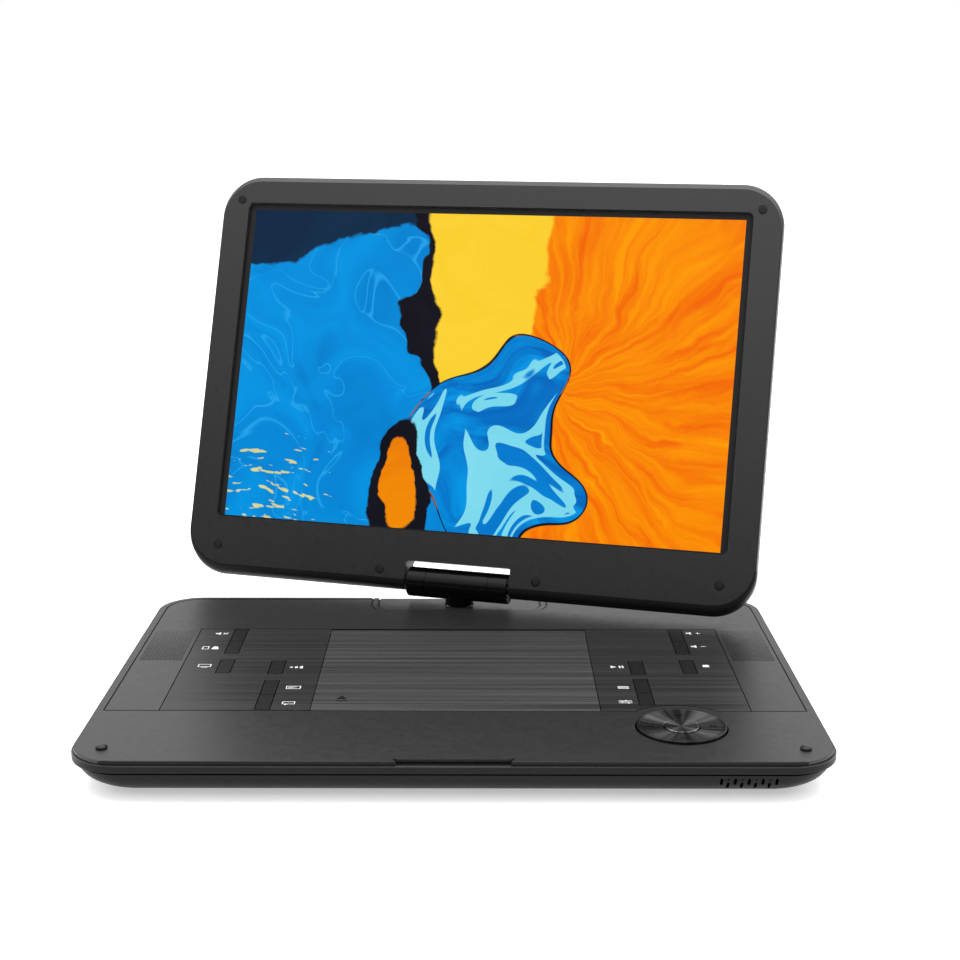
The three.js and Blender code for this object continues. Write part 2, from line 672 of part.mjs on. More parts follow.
function discWell() {
  const ribTop = WELL_LOW_Z + 0.5;
  const body = join(
    block(-WELL.x, WELL.x, WELL.front, WELL.back, WELL_LOW_Z, WELL.top),
    block(-RIB.x, RIB.x, RAIL_FRONT - 0.5, RAIL_FRONT - 0.5 + RIB.t, DRIVE_FLOOR, ribTop),
    ...SIDES.map((side) =>
      sideBlock(side, ...RIB.rear, ROD.back - RIB.t, ROD.back, DRIVE_FLOOR + 2, ribTop),
    ),
    ...SIDES.map(doorLug),
  );
  const pocket = LATCH.half + LATCH.clear;
  const pocketLow = LATCH.low - LATCH.travel - GAP;
  return cut(
    body,
    post(0, DISC_Y, WELL.r, WELL.floorZ, DECK_Z, 64),
    block(-SLOT.x, SLOT.x, DISC_Y - SLOT.far, DISC_Y - SLOT.near, WELL_LOW_Z - OVER, DECK_Z),
    post(0, DISC_Y, HUB.seatR + 1.8, WELL_LOW_Z - OVER, WELL.floorZ + OVER),
    pillar(LATCH.x, LATCH.y, pocket, pocket, pocketLow, DECK_Z),
    ...SIDES.map((side) => rodY(side * ROD.x, ROD.z, ROD.r + GAP, RAIL_FRONT - 2, ROD.back + 2, 12)),
    rodY(SCREW.x, ROD.z, SCREW.r + GAP, RAIL_FRONT - 2, RAIL_FRONT + 3, 12),
    ...SIDES.map((side) =>
      sideRodX(side, DOOR_AXIS.y, DOOR_AXIS.z, DOOR_PIN.r + GAP, DOOR_X, LUG.outer + OVER, 12),
    ),
  );
}

function spindleMotor() {
  const can = post(0, DISC_Y, SPINDLE_MOTOR.r, DRIVE_FLOOR, SPINDLE_MOTOR.top);
  const shaft = post(0, DISC_Y, SPINDLE_MOTOR.shaftR, SPINDLE_MOTOR.top - OVER, SPINDLE_MOTOR.shaftTop, 12);
  return join(can, shaft);
}

// The disc lies on the ring at seatZ, round the spigot that fills its hole.
function spindleHub() {
  const profile = [
    [0, HUB.low],
    [HUB.seatR, HUB.low],
    [HUB.seatR, HUB.seatZ],
    [HUB.boreR, HUB.seatZ],
    [HUB.spigotR, HUB.top - 1],
    [HUB.tipR, HUB.top],
    [0, HUB.top],
  ];
  const shaftHole = post(
    0,
    DISC_Y,
    SPINDLE_MOTOR.shaftR + GAP,
    HUB.low - OVER,
    SPINDLE_MOTOR.shaftTop + GAP,
    12,
  );
  return cut(turned(0, DISC_Y, profile, 36), shaftHole);
}

// The laser head's carriage: a cross beam on both rods, a saddle, and the lens on top.
function pickupSled() {
  const halfSaddle = SLED.saddle / 2;
  const front = SLED_Y - SLED.l;
  const back = SLED_Y + SLED.l;
  const lensZ = WELL.floorZ + GAP;
  return cut(
    join(
      block(SLED.left, SLED.right, SLED_Y - halfSaddle, SLED_Y + halfSaddle, SLED.low, SLED.top),
      pillar(0, SLED_Y, SLED.w / 2, SLED.l / 2, SLED.low, lensZ),
      post(0, SLED_Y, SLED.lensR, lensZ - GAP, lensZ + 0.8, 20),
    ),
    ...SIDES.map((side) => rodY(side * ROD.x, ROD.z, ROD.r + GAP, front, back, 12)),
    rodY(SCREW.x, ROD.z, SCREW.r + GAP, front, back, 12),
  );
}

place(player, "disc_well", discWell(), BLACK());
place(player, "spindle_motor", spindleMotor(), STEEL());
place(player, "spindle_hub", spindleHub(), BLACK());
for (const [name, side] of MIRRORED) {
  const rod = rodY(side * ROD.x, ROD.z, ROD.r, RAIL_FRONT - GAP, ROD.back, 12);
  place(player, `guide_rod_${name}`, rod, STEEL());
}
place(player, "pickup_sled", pickupSled(), BLACK());
place(player, "lead_screw", rodY(SCREW.x, ROD.z, SCREW.r, RAIL_FRONT, ROD.back, 12), STEEL());
place(
  player,
  "sled_motor",
  rodY(SCREW.x, ROD.z, SLED_MOTOR.r, ROD.back + GAP, ROD.back + SLED_MOTOR.l, 20),
  STEEL(),
);

// ---------------------------------------------------------------- boards, battery and connectors
function mainBoard() {
  const { left, right, front, back, z, t } = MAIN_BOARD;
  return block(left, right, front, back, z, z + t);
}

function batteryPack() {
  const { left, right, front, back, r, top } = BATTERY;
  return roundedSlab(left, right, front, back, r, DRIVE_FLOOR + GAP, top);
}

// A round socket in a square body; a power jack also has a centre pin.
function jack({ x, bore, half, length, deep, pin }) {
  const body = block(x - half, x + half, REAR_IN - length, REAR_IN - GAP, JACK_Z - half, JACK_Z + half);
  const hole = rodY(x, JACK_Z, bore, REAR_IN - deep, REAR_IN + OVER);
  if (!pin) {
    return cut(body, hole);
  }
  return cut(body, cut(hole, rodY(x, JACK_Z, pin, REAR_IN - deep - OVER, REAR_IN - OVER, 12)));
}

function usbPort() {
  const front = REAR_IN - USB.deep;
  const shell = (wall, y0, y1) =>
    block(
      USB.x - USB.w / 2 + wall,
      USB.x + USB.w / 2 - wall,
      y0,
      y1,
      USB.z - USB.h / 2 + wall,
      USB.z + USB.h / 2 - wall,
    );
  const tongue = block(
    USB.x - USB_TONGUE.half,
    USB.x + USB_TONGUE.half,
    front + OVER,
    REAR_IN - USB_TONGUE.front,
    USB.z + USB_TONGUE.low,
    USB.z + USB_TONGUE.high,
  );
  const inside = shell(USB.wall, front + 1.5 * OVER, REAR_IN + OVER);
  return join(cut(shell(0, front, REAR_IN - GAP), inside), tongue);
}

// The power slider stands at the left end of its travel.
function powerSwitch() {
  const x = POWER.x - POWER.travel / 2;
  const knobZ = POWER.h / 2 - SEAM;
  return join(
    block(
      x - POWER.plate,
      x + POWER.plate,
      REAR_IN - POWER.plateT,
      REAR_IN - GAP,
      POWER.z - POWER.plateH,
      POWER.z + POWER.plateH,
    ),
    block(
      x - POWER.knob / 2,
      x + POWER.knob / 2,
      REAR_IN - OVER,
      BASE_D / 2 - SEAM,
      POWER.z - knobZ,
      POWER.z + knobZ,
    ),
  );
}

place(player, "main_board", mainBoard(), BOARD());
place(player, "battery_pack", batteryPack(), CELL());
for (const socket of JACKS) {
  place(player, socket.name, jack(socket), BLACK());
}
place(player, "usb_port", usbPort(), STEEL());
place(player, "power_switch", powerSwitch(), BLACK());

// ---------------------------------------------------------------- swivel
// A bush under the cover, on a plate, that the swivel shaft turns in.
function swivelSocket() {
  const top = COVER_LOW_Z - GAP;
  const { r, low, plateX, plateFront, plateBack, plateLow } = SOCKET;
  return cut(
    join(
      post(0, HINGE_Y, r, low, top),
      block(-plateX, plateX, HINGE_Y - plateFront, HINGE_Y + plateBack, plateLow, top),
    ),
    post(0, HINGE_Y, SHAFT_R + GAP, low - OVER, DECK_Z),
  );
}

const BARREL_FOOT_Z = HINGE_Z - BARREL_R + 0.1;

function swivelShaft() {
  return join(
    post(0, 0, SHAFT_R, SHAFT_LOW, DECK_Z),
    post(0, 0, COLLAR_R, DECK_Z - PILL.depth + GAP, BARREL_FOOT_Z - GAP, 40),
    post(0, 0, SPIGOT_R, DECK_Z, SPIGOT_TOP),
  );
}

function hingeBarrel() {
  const end = BARREL_L / 2;
  return cut(
    join(
      rodX(0, HINGE_Z, BARREL_R, -end, end, 32),
      post(0, 0, COLLAR_R, BARREL_FOOT_Z, HINGE_Z - 2, 40),
    ),
    post(0, 0, SPIGOT_R + GAP, HINGE_Z - BARREL_R - OVER, SPIGOT_TOP + GAP),
    ...SIDES.map((side) => sideRodX(side, 0, HINGE_Z, PIN.r + GAP, end - PIN.deep, end + OVER)),
  );
}

place(player, "swivel_socket", swivelSocket(), STEEL());
place(swivel, "swivel_shaft", swivelShaft(), GLOSS_BLACK());
place(swivel, "hinge_barrel", hingeBarrel(), GLOSS_BLACK());

// ---------------------------------------------------------------- lid
const BEZEL_BACK = LID_FACE + BEZEL_T;
const SHELL_FRONT = BEZEL_BACK + GAP;

// One outline of the lid, drawn in by separate amounts; the lofts run from the face to the back.
function lidRing(depth, side, top, bottom, radius) {
  return {
    x0: -LID_W / 2 + side,
    x1: LID_W / 2 - side,
    y0: LID_BOTTOM + bottom,
    y1: LID_TOP - top,
    r: radius,
    z: depth,
  };
}

// How far the bezel's rounded rim and the shell's rounded back draw in, from the outline of the lid.
const BEZEL_RIM = [
  { depth: 0, side: 1.2, top: 3.4, bottom: 7.5 },
  { depth: 0.5, side: 0.6, top: 1.6, bottom: 5.2 },
  { depth: BEZEL_T, side: 0, top: 0, bottom: 1.6 },
];
const SHELL_LIP = { bottom: 1.4, z: -1 };
const SHELL_ROUND = [
  { z: 4.4, side: 1, bottom: 0.6, r: 1 },
  { z: 7.2, side: 3.6, bottom: 2.4, r: 3.6 },
  { z: LID_BACK, side: 9, bottom: 6, r: 8 },
];
const HOLLOW_MID = { z: 4, side: 1 };

// Turns a solid built in (across, up the screen, depth behind the face) into the lid's own frame.
const standUp = (body) => body.rotate([90, 0, 0]).mirror([0, 1, 0]);

const hingeNotch = () =>
  block(-NOTCH_X, NOTCH_X, LID_BOTTOM - OVER, NOTCH_TOP, LID_FACE - OVER, LID_BACK + OVER);

function bezel() {
  const rings = BEZEL_RIM.map(({ depth, side, top, bottom }) =>
    lidRing(LID_FACE + depth, side, top, bottom, LID_R - side),
  );
  const frame = loft(rings);
  const { w, low, high, r } = WINDOW;
  const window = roundedSlab(-w / 2, w / 2, low, high, r, LID_FACE - OVER, BEZEL_BACK + OVER);
  return cut(frame, window, hingeNotch());
}

function lidBack() {
  const skin = loft([
    lidRing(SHELL_FRONT, 0, 0, SHELL_LIP.bottom, LID_R),
    lidRing(SHELL_LIP.z, 0, 0, 0, LID_R),
    ...SHELL_ROUND.map(({ z, side, bottom, r }) => lidRing(z, side, side, bottom, LID_R - r)),
  ]);
  const innerBottom = LID_WALL + SHELL_LIP.bottom;
  const innerSide = LID_WALL + HOLLOW_MID.side;
  const back = SHELL_ROUND[SHELL_ROUND.length - 1];
  const hollow = loft([
    lidRing(SHELL_FRONT - OVER, LID_WALL, LID_WALL, innerBottom, LID_R - LID_WALL),
    lidRing(HOLLOW_MID.z, innerSide, innerSide, innerBottom, LID_R - innerSide),
    lidRing(back.z - LID_WALL, back.side, back.side, back.bottom, LID_R - back.r),
  ]);
  const boss = block(
    -BOSS_X,
    BOSS_X,
    LID_BOTTOM - OVER,
    NOTCH_TOP + LID_WALL,
    LID_FACE - OVER,
    LID_BACK + OVER,
  );
  const bores = SIDES.map((side) => sideRodX(side, 0, 0, PIN.r + GAP, NOTCH_X - OVER, PIN.out + 0.5, 20));
  return cut(skin, cut(hollow, boss), hingeNotch(), ...bores);
}

function displayPanel() {
  const front = SHELL_FRONT - 0.1;
  return block(-LCD.w / 2, LCD.w / 2, LCD.low, LCD.high, front, front + LCD.t);
}

function lidBoard() {
  return block(LID_BOARD.left, LID_BOARD.right, LID_BOARD.low, LID_BOARD.high, 0, LID_BOARD.t);
}

place(lid, "lid_bezel", standUp(bezel()), SHELL());
place(lid, "lid_back", standUp(lidBack()), SHELL());
place(lid, "lcd_panel", standUp(displayPanel()), SCREEN());
place(lid, "lid_board", standUp(lidBoard()), BOARD());
for (const [name, side] of MIRRORED) {
  place(lid, `tilt_pin_${name}`, sideRodX(side, 0, 0, PIN.r, BARREL_L / 2 - PIN.in, PIN.out, 20), STEEL());
}

export default player;
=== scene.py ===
import json
from math import atan2, copysign, cos, degrees, pi, radians, sin, sqrt

import bmesh
import bpy
import numpy as np
from mathutils import Matrix, Vector


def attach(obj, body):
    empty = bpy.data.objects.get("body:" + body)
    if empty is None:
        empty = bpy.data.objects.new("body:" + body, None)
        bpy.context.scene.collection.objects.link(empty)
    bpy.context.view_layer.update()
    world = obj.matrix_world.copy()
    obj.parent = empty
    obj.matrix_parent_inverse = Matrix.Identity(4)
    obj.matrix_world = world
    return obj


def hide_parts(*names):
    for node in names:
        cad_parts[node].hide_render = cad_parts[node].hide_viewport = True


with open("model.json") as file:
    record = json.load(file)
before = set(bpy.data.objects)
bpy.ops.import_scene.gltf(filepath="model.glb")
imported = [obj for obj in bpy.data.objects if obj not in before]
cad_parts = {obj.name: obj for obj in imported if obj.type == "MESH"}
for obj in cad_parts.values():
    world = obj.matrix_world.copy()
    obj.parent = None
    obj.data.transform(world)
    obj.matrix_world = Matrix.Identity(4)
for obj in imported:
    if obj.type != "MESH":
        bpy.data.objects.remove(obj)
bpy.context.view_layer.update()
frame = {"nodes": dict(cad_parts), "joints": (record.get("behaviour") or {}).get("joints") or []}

MM = 0.001
CORNER_STEPS = 24
OVER = 1.0  # how far a cutting tool runs past what it cuts
IDENTITY = Matrix.Identity(4)
PLACE = "place"  # the mesh attribute that holds a point's place before its piece is turned


# ---- the frame's places
class Span:
    """A node's box in millimetres, in the part's frame or in the frame that inverse leads to."""

    def __init__(self, node, inverse=IDENTITY):
        mesh = frame["nodes"][node].data
        points = np.array([inverse @ v.co for v in mesh.vertices]) / MM
        self.x0, self.y0, self.z0 = points.min(0)
        self.x1, self.y1, self.z1 = points.max(0)
        self.cx = (self.x0 + self.x1) / 2
        self.cy = (self.y0 + self.y1) / 2
        self.cz = (self.z0 + self.z1) / 2
        self.w = self.x1 - self.x0
        self.d = self.y1 - self.y0


JOINTS = {joint["name"]: joint for joint in frame["joints"]}
TILT = JOINTS["hinge_tilt"]
TILT_AXIS = TILT["axis"]
TILT_POINT = Vector(TILT["pos_m"])
LEAN = radians(-90 - TILT["range_deg"][0])  # the face-down limit is a quarter turn from upright
SWIVEL = atan2(-TILT_AXIS[1], -TILT_AXIS[0])
SWIVEL_FRAME = Matrix.Translation(TILT_POINT) @ Matrix.Rotation(SWIVEL, 4, "Z")
LID_FRAME = SWIVEL_FRAME @ Matrix.Rotation(-LEAN, 4, "X")
LID_INVERSE = LID_FRAME.inverted()
SWIVEL_INVERSE = SWIVEL_FRAME.inverted()

COVER = Span("top_cover")
TRAY = Span("base_tray")
DOOR = Span("disc_door")
RING = Span("nav_ring")
OK_KEY = Span("nav_ok_key")
SHAFT = Span("swivel_shaft", SWIVEL_INVERSE)
BARREL = Span("hinge_barrel", LID_INVERSE)
BEZEL = Span("lid_bezel", LID_INVERSE)
LID = Span("lid_back", LID_INVERSE)
PANEL = Span("lcd_panel", LID_INVERSE)
PANELS = {side: Span(f"key_panel_{side}") for side in ("left", "right")}
GRILLES = {side: Span(f"speaker_grille_{side}") for side in ("left", "right")}
DECK_Z = DOOR.z1
FLOOR_Z = Span("foot_front_left").z0


# ---- mesh helpers
def in_scene(name, data, place=IDENTITY):
    obj = bpy.data.objects.new(name, data)
    bpy.context.scene.collection.objects.link(obj)
    obj.matrix_world = place
    return obj


def mesh_object(name, points, faces, place=IDENTITY):
    """A closed mesh from points in millimetres, with its faces turned outwards."""
    mesh = bpy.data.meshes.new(name)
    mesh.from_pydata([[c * MM for c in point] for point in points], [], faces)
    shape = bmesh.new()
    shape.from_mesh(mesh)
    bmesh.ops.remove_doubles(shape, verts=shape.verts, dist=1e-7)
    bmesh.ops.recalc_face_normals(shape, faces=shape.faces)
    shape.to_mesh(mesh)
    shape.free()
    return in_scene(name, mesh, place)


def rounded(x0, x1, y0, y1, r, steps=CORNER_STEPS):
    """A rounded rectangle's outline as (x, y) points, anticlockwise."""
    corners = [(x1 - r, y0 + r, -90), (x1 - r, y1 - r, 0), (x0 + r, y1 - r, 90), (x0 + r, y0 + r, 180)]
    points = []
    for cx, cy, start in corners:
        for step in range(steps + 1):
            angle = radians(start + 90 * step / steps)
            points.append((cx + r * cos(angle), cy + r * sin(angle)))
    return points


def circle(cx, cy, r, sides=64):
    turn = 2 * pi / sides
    return [(cx + r * cos(i * turn), cy + r * sin(i * turn)) for i in range(sides)]


def box_outline(x0, x1, y0, y1):
    return [(x0, y0), (x1, y0), (x1, y1), (x0, y1)]


def upright(x, y, z):
    return (x, y, z)


def rearwards(x, y, z):
    """Outline across and up, levels along Y: through the rear wall, or into the lid's back."""
    return (x, z, y)


def sideways(x, y, z):
    """Outline in (y, z), levels along X."""
    return (z, x, y)


def stack(name, levels, place=IDENTITY, turn=upright):
    """A solid through outlines of equal length, listed as (outline, height) from low to high."""
    count = len(levels[0][0])
    points = [turn(x, y, z) for outline, z in levels for x, y in outline]
    faces = [tuple(range(count)), tuple(range(len(points) - count, len(points)))]
    for level in range(len(levels) - 1):
        for i in range(count):
            a = level * count + i
            b = level * count + (i + 1) % count
            faces.append((a, b, b + count, a + count))
    return mesh_object(name, points, faces, place)


def prism(name, outline, z0, z1, place=IDENTITY, turn=upright):
    return stack(name, [(outline, z0), (outline, z1)], place, turn)


def block(name, x0, x1, y0, y1, z0, z1, place=IDENTITY):
    return prism(name, box_outline(x0, x1, y0, y1), z0, z1, place)


def lathe(name, cx, cy, profile, sides=96, place=IDENTITY, turn=upright):
    """A solid turned about the upright line through (cx, cy) from (radius, height) points.
    A profile that doesn't start and end on the axis closes on itself."""
    points = []
    rows = []
    for radius, height in profile:
        if radius < 1e-6:
            rows.append([len(points)] * sides)
            points.append(turn(cx, cy, height))
        else:
            rows.append(list(range(len(points), len(points) + sides)))
            points.extend(turn(x, y, height) for x, y in circle(cx, cy, radius, sides))
    pairs = list(zip(rows, rows[1:]))
    if profile[0][0] > 1e-6:
        pairs.append((rows[-1], rows[0]))
    faces = []
    for low, high in pairs:
        for i in range(sides):
            j = (i + 1) % sides
            face = tuple(dict.fromkeys((low[i], low[j], high[j], high[i])))
            if len(face) > 2:
                faces.append(face)
    return mesh_object(name, points, faces, place)


def arc(cx, cy, r, start, end, steps=8, ry=None):
    """Points on an arc, or on an ellipse of half height ry, from start to end degrees."""
    ry = r if ry is None else ry
    angles = [radians(start + (end - start) * i / steps) for i in range(steps + 1)]
    return [(cx + r * cos(a), cy + ry * sin(a)) for a in angles]


def apply_modifiers(obj):
    depsgraph = bpy.context.evaluated_depsgraph_get()
    mesh = bpy.data.meshes.new_from_object(obj.evaluated_get(depsgraph))
    old = obj.data
    obj.modifiers.clear()
    obj.data = mesh
    bpy.data.meshes.remove(old)
    return obj


def combine(obj, tools, operation):
    """Cuts or joins tools to obj one after another, and removes them."""
    for tool in tools:
        modifier = obj.modifiers.new(operation, "BOOLEAN")
        modifier.operation = operation
        modifier.solver = "EXACT"
        modifier.object = tool
    bpy.context.view_layer.update()
    apply_modifiers(obj)
    for tool in tools:
        mesh = tool.data
        bpy.data.objects.remove(tool)
        bpy.data.meshes.remove(mesh)
    return obj


def cut(obj, *tools):
    return combine(obj, tools, "DIFFERENCE")


def join(obj, *tools):
    return combine(obj, tools, "UNION")


def merge(name, objects):
    """Objects that don't touch, as one mesh."""
    points = []
    faces = []
    for obj in objects:
        start = len(points)
        points.extend(tuple(v.co / MM) for v in obj.data.vertices)
        faces.extend(tuple(start + i for i in polygon.vertices) for polygon in obj.data.polygons)
    place = objects[0].matrix_world.copy()
    for obj in objects:
        bpy.data.objects.remove(obj)
    return mesh_object(name, points, faces, place)


def soften(obj, width=0, segments=2, angle=32):
    """Rounds the sharp edges and shades the rest smooth."""
    if width:
        bevel = obj.modifiers.new("bevel", "BEVEL")
        bevel.width = width * MM
        bevel.segments = segments
        bevel.limit_method = "ANGLE"
        bevel.angle_limit = radians(angle)
        apply_modifiers(obj)
    obj.data.shade_smooth()
    obj.data.set_sharp_from_angle(angle=radians(angle + 3))
    obj.modifiers.new("normals", "WEIGHTED_NORMAL").keep_sharp = True
    return apply_modifiers(obj)


def settle(obj):
    """Moves a mesh into the part's frame, and keeps each point's own place for the materials to read."""
    places = np.empty(len(obj.data.vertices) * 3, np.float32)
    obj.data.vertices.foreach_get("co", places)
    obj.data.attributes.new(PLACE, "FLOAT_VECTOR", "POINT").data.foreach_set("vector", places)
    obj.data.transform(obj.matrix_world)
    obj.matrix_world = IDENTITY


def show(obj, body, paint, *nodes, slot=None):
    """Gives a finished piece its body, its paint and the nodes that it stands for. The slot is not used."""
    settle(obj)
    obj.data.materials.clear()
    obj.data.materials.append(paint.material)
    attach(obj, body)
    if nodes:
        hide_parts(*nodes)
    return obj


def paint_faces(obj, paint, chosen, inverse=IDENTITY):
    """Gives one more paint to the faces whose middles, in millimetres, are chosen."""
    obj.data.materials.append(paint.material)
    for polygon in obj.data.polygons:
        if chosen(*(inverse @ polygon.center / MM)):
            polygon.material_index = len(obj.data.materials) - 1


def copy_of(node):
    """A node's solid as a new object, with its flat faces whole again."""
    mesh = frame["nodes"][node].data.copy()
    shape = bmesh.new()
    shape.from_mesh(mesh)
    bmesh.ops.remove_doubles(shape, verts=shape.verts, dist=2e-6)
    flat = {"angle_limit": radians(0.6), "delimit": set()}
    bmesh.ops.dissolve_limit(shape, verts=shape.verts, edges=shape.edges, **flat)
    shape.to_mesh(mesh)
    shape.free()
    mesh.materials.clear()
    return in_scene(f"{node}_fine", mesh)


def refine(node, body, paint, width, segments=2):
    """Stands in for a node with the same solid, its edges rounded."""
    return show(soften(copy_of(node), width, segments), body, paint, node)


# ---- materials
class Paint:
    """One material with its slot, and a small builder for its nodes round a Principled shader."""

    def __init__(self, name, slot=None, **sockets):
        self.slot = slot or name
        self.material = bpy.data.materials.new(name)
        self.material.use_nodes = True
        self.nodes = self.material.node_tree.nodes
        self.links = self.material.node_tree.links
        self.shader = self.nodes["Principled BSDF"]
        for socket, value in sockets.items():
            self.shader.inputs[socket.replace("_", " ")].default_value = value
        self.place = self.node("Attribute", attribute_name=PLACE).outputs["Vector"]

    def node(self, kind, inputs=(), **settings):
        made = self.nodes.new(f"ShaderNode{kind}")
        for name, value in settings.items():
            setattr(made, name, value)
        for key, value in dict(inputs).items():
            self.feed(made.inputs[key], value)
        return made

    def feed(self, socket, value):
        if isinstance(value, bpy.types.NodeSocket):
            self.links.new(value, socket)
        else:
            socket.default_value = value

    def vector(self, operation, a, b=(0.0, 0.0, 0.0)):
        return self.node("VectorMath", {0: a, 1: b}, operation=operation).outputs[0]

    def length(self, vector):
        return self.node("VectorMath", {0: vector}, operation="LENGTH").outputs["Value"]

    def split(self, vector):
        """The X, Y and Z outputs of a vector."""
        return self.node("SeparateXYZ", {0: vector}).outputs

    def combined(self, x, y=0.0, z=0.0):
        return self.node("CombineXYZ", {0: x, 1: y, 2: z}).outputs[0]

    def scaled(self, x, y, z, vector=None):
        """The place multiplied along each axis, for streaks and stretched grain."""
        return self.vector("MULTIPLY", vector or self.place, (x, y, z))

    def noise(self, scale, detail=3, roughness=0.55, vector=None, distortion=0):
        inputs = {"Vector": vector or self.place, "Scale": scale, "Detail": detail}
        inputs |= {"Roughness": roughness, "Distortion": distortion}
        return self.node("TexNoise", inputs).outputs["Fac"]

    def math(self, operation, a, b=0.0, clamp=False):
        return self.node("Math", {0: a, 1: b}, operation=operation, use_clamp=clamp).outputs[0]

    def plus(self, a, b):
        return self.math("ADD", a, b)

    def times(self, a, b):
        return self.math("MULTIPLY", a, b)

    def slanted(self, a, b, slope):
        return self.plus(a, self.times(b, slope))

    def span(self, value, low, high, to_low=0.0, to_high=1.0):
        inputs = {"Value": value, "From Min": low, "From Max": high, "To Min": to_low, "To Max": to_high}
        return self.node("MapRange", inputs).outputs[0]

    def blend(self, factor, a, b):
        made = self.nodes.new("ShaderNodeMix")
        made.data_type = "RGBA"
        self.feed(made.inputs[0], factor)
        self.feed(made.inputs[6], a)
        self.feed(made.inputs[7], b)
        return made.outputs[2]

    def colour(self, factor, dark, light):
        self.feed(self.shader.inputs["Base Color"], self.blend(factor, rgb(dark), rgb(light)))

    def rough(self, factor, low, high):
        self.feed(self.shader.inputs["Roughness"], self.span(factor, 0.25, 0.75, low, high))

    def bump(self, height, depth, strength=1.0):
        """Adds relief of a depth in millimetres."""
        made = self.node("Bump", {"Height": height, "Distance": depth * MM, "Strength": strength})
        self.links.new(made.outputs[0], self.shader.inputs["Normal"])


def rgb(value):
    """A grey level or three channels, linear, with alpha."""
    channels = (value, value, value) if isinstance(value, (int, float)) else tuple(value)
    return (*channels, 1.0)


def moulded(name, dark, light, low, high, grain=2600, depth=0.02, glint=0.5, slot=None):
    """Moulded plastic: mottled colour, uneven gloss and a fine grain."""
    paint = Paint(name, slot, Specular_IOR_Level=glint)
    paint.colour(paint.noise(90, 5, 0.6), dark, light)
    paint.rough(paint.noise(260, 4, 0.6), low, high)
    paint.bump(paint.noise(grain, 2, 0.5), depth, 0.5)
    return paint


def brushed(name, dark, light, low, high, depth=0.012, **sockets):
    """Metal or film brushed across, in streaks along X."""
    paint = Paint(name, **sockets)
    fine = paint.noise(1, 3, 0.6, paint.scaled(7, 2600, 2600))
    broad = paint.noise(1, 2, 0.5, paint.scaled(2.5, 480, 480))
    streaks = paint.plus(paint.times(fine, 0.4), paint.times(broad, 0.6))
    paint.colour(paint.span(streaks, 0.36, 0.64), dark, light)
    paint.rough(streaks, low, high)
    paint.bump(fine, depth, 0.7)
    return paint


def spun():
    """Dark metal turned on a lathe: fine rings under four soft fans of painted reflection that meet in the
    middle.
    """
    paint = Paint("spun_metal", Metallic=0.8, Anisotropic=0.3)
    axes = paint.split(paint.place)
    radius = paint.length(paint.scaled(1, 1, 0))
    angle = paint.math("ARCTAN2", axes[1], axes[0])
    rings = paint.noise(1, 3, 0.6, paint.combined(paint.times(radius, 5200)))
    # Painted reflection: four soft fans round the middle and noisy rays, put into the base colour; the rings
    # are the metal's own fine tone.
    fans = paint.math("COSINE", paint.times(paint.math("SUBTRACT", angle, pi / 4), 4.0))
    rays = paint.noise(5.5, 4, 0.6, paint.combined(paint.math("COSINE", angle), paint.math("SINE", angle)))
    light = paint.plus(paint.span(fans, -0.4, 1.0, 0, 0.6), paint.span(rays, 0.35, 0.7, -0.2, 0.45))
    light = paint.math("ADD", light, paint.span(rings, 0.3, 0.7, -0.08, 0.08), clamp=True)
    light = paint.times(light, paint.span(radius, 0.0205, 0.0222, 1.0, 0.25))  # the painted reflection fades towards the rim
    paint.colour(light, 0.012, 0.24)
    paint.rough(rings, 0.26, 0.38)
    paint.bump(rings, 0.006, 0.8)
    tangent = paint.node("Tangent", direction_type="RADIAL", axis="Z")
    paint.links.new(tangent.outputs[0], paint.shader.inputs["Tangent"])
    return paint


def turned_steel():
    paint = Paint("steel", Metallic=1.0)
    marks = paint.noise(1, 4, 0.6, paint.scaled(900, 900, 4200))
    paint.colour(marks, (0.36, 0.37, 0.38), (0.62, 0.63, 0.65))
    paint.rough(marks, 0.22, 0.42)
    paint.bump(marks, 0.008, 0.6)
    return paint


def circuit_board():
    """Green solder mask over copper tracks."""
    paint = Paint("circuit_board")
    cells = paint.node("TexBrick", {"Vector": paint.scaled(160, 160, 160), "Scale": 4.0, "Mortar Size": 0.03})
    tracks = paint.times(cells.outputs["Fac"], paint.noise(60, 2))
    paint.colour(tracks, (0.012, 0.09, 0.035), (0.05, 0.26, 0.09))
    paint.rough(paint.noise(400), 0.28, 0.45)
    paint.bump(tracks, 0.05, 0.6)
    return paint


def cell_wrap():
    paint = Paint("cell_wrap", Coat_Weight=0.5, Coat_Roughness=0.2)
    creases = paint.noise(120, 5, 0.6, paint.scaled(1, 4, 1))
    paint.colour(creases, (0.02, 0.035, 0.08), (0.05, 0.08, 0.16))
    paint.rough(creases, 0.25, 0.45)
    paint.bump(creases, 0.2, 0.5)
    return paint


def lens_glass():
    paint = Paint("lens_glass", "gloss_black", Metallic=0.2, Coat_Weight=1.0, Coat_Roughness=0.03)
    paint.colour(paint.noise(400, 2), (0.01, 0.02, 0.08), (0.03, 0.06, 0.16))
    paint.rough(paint.noise(900), 0.03, 0.08)
    return paint


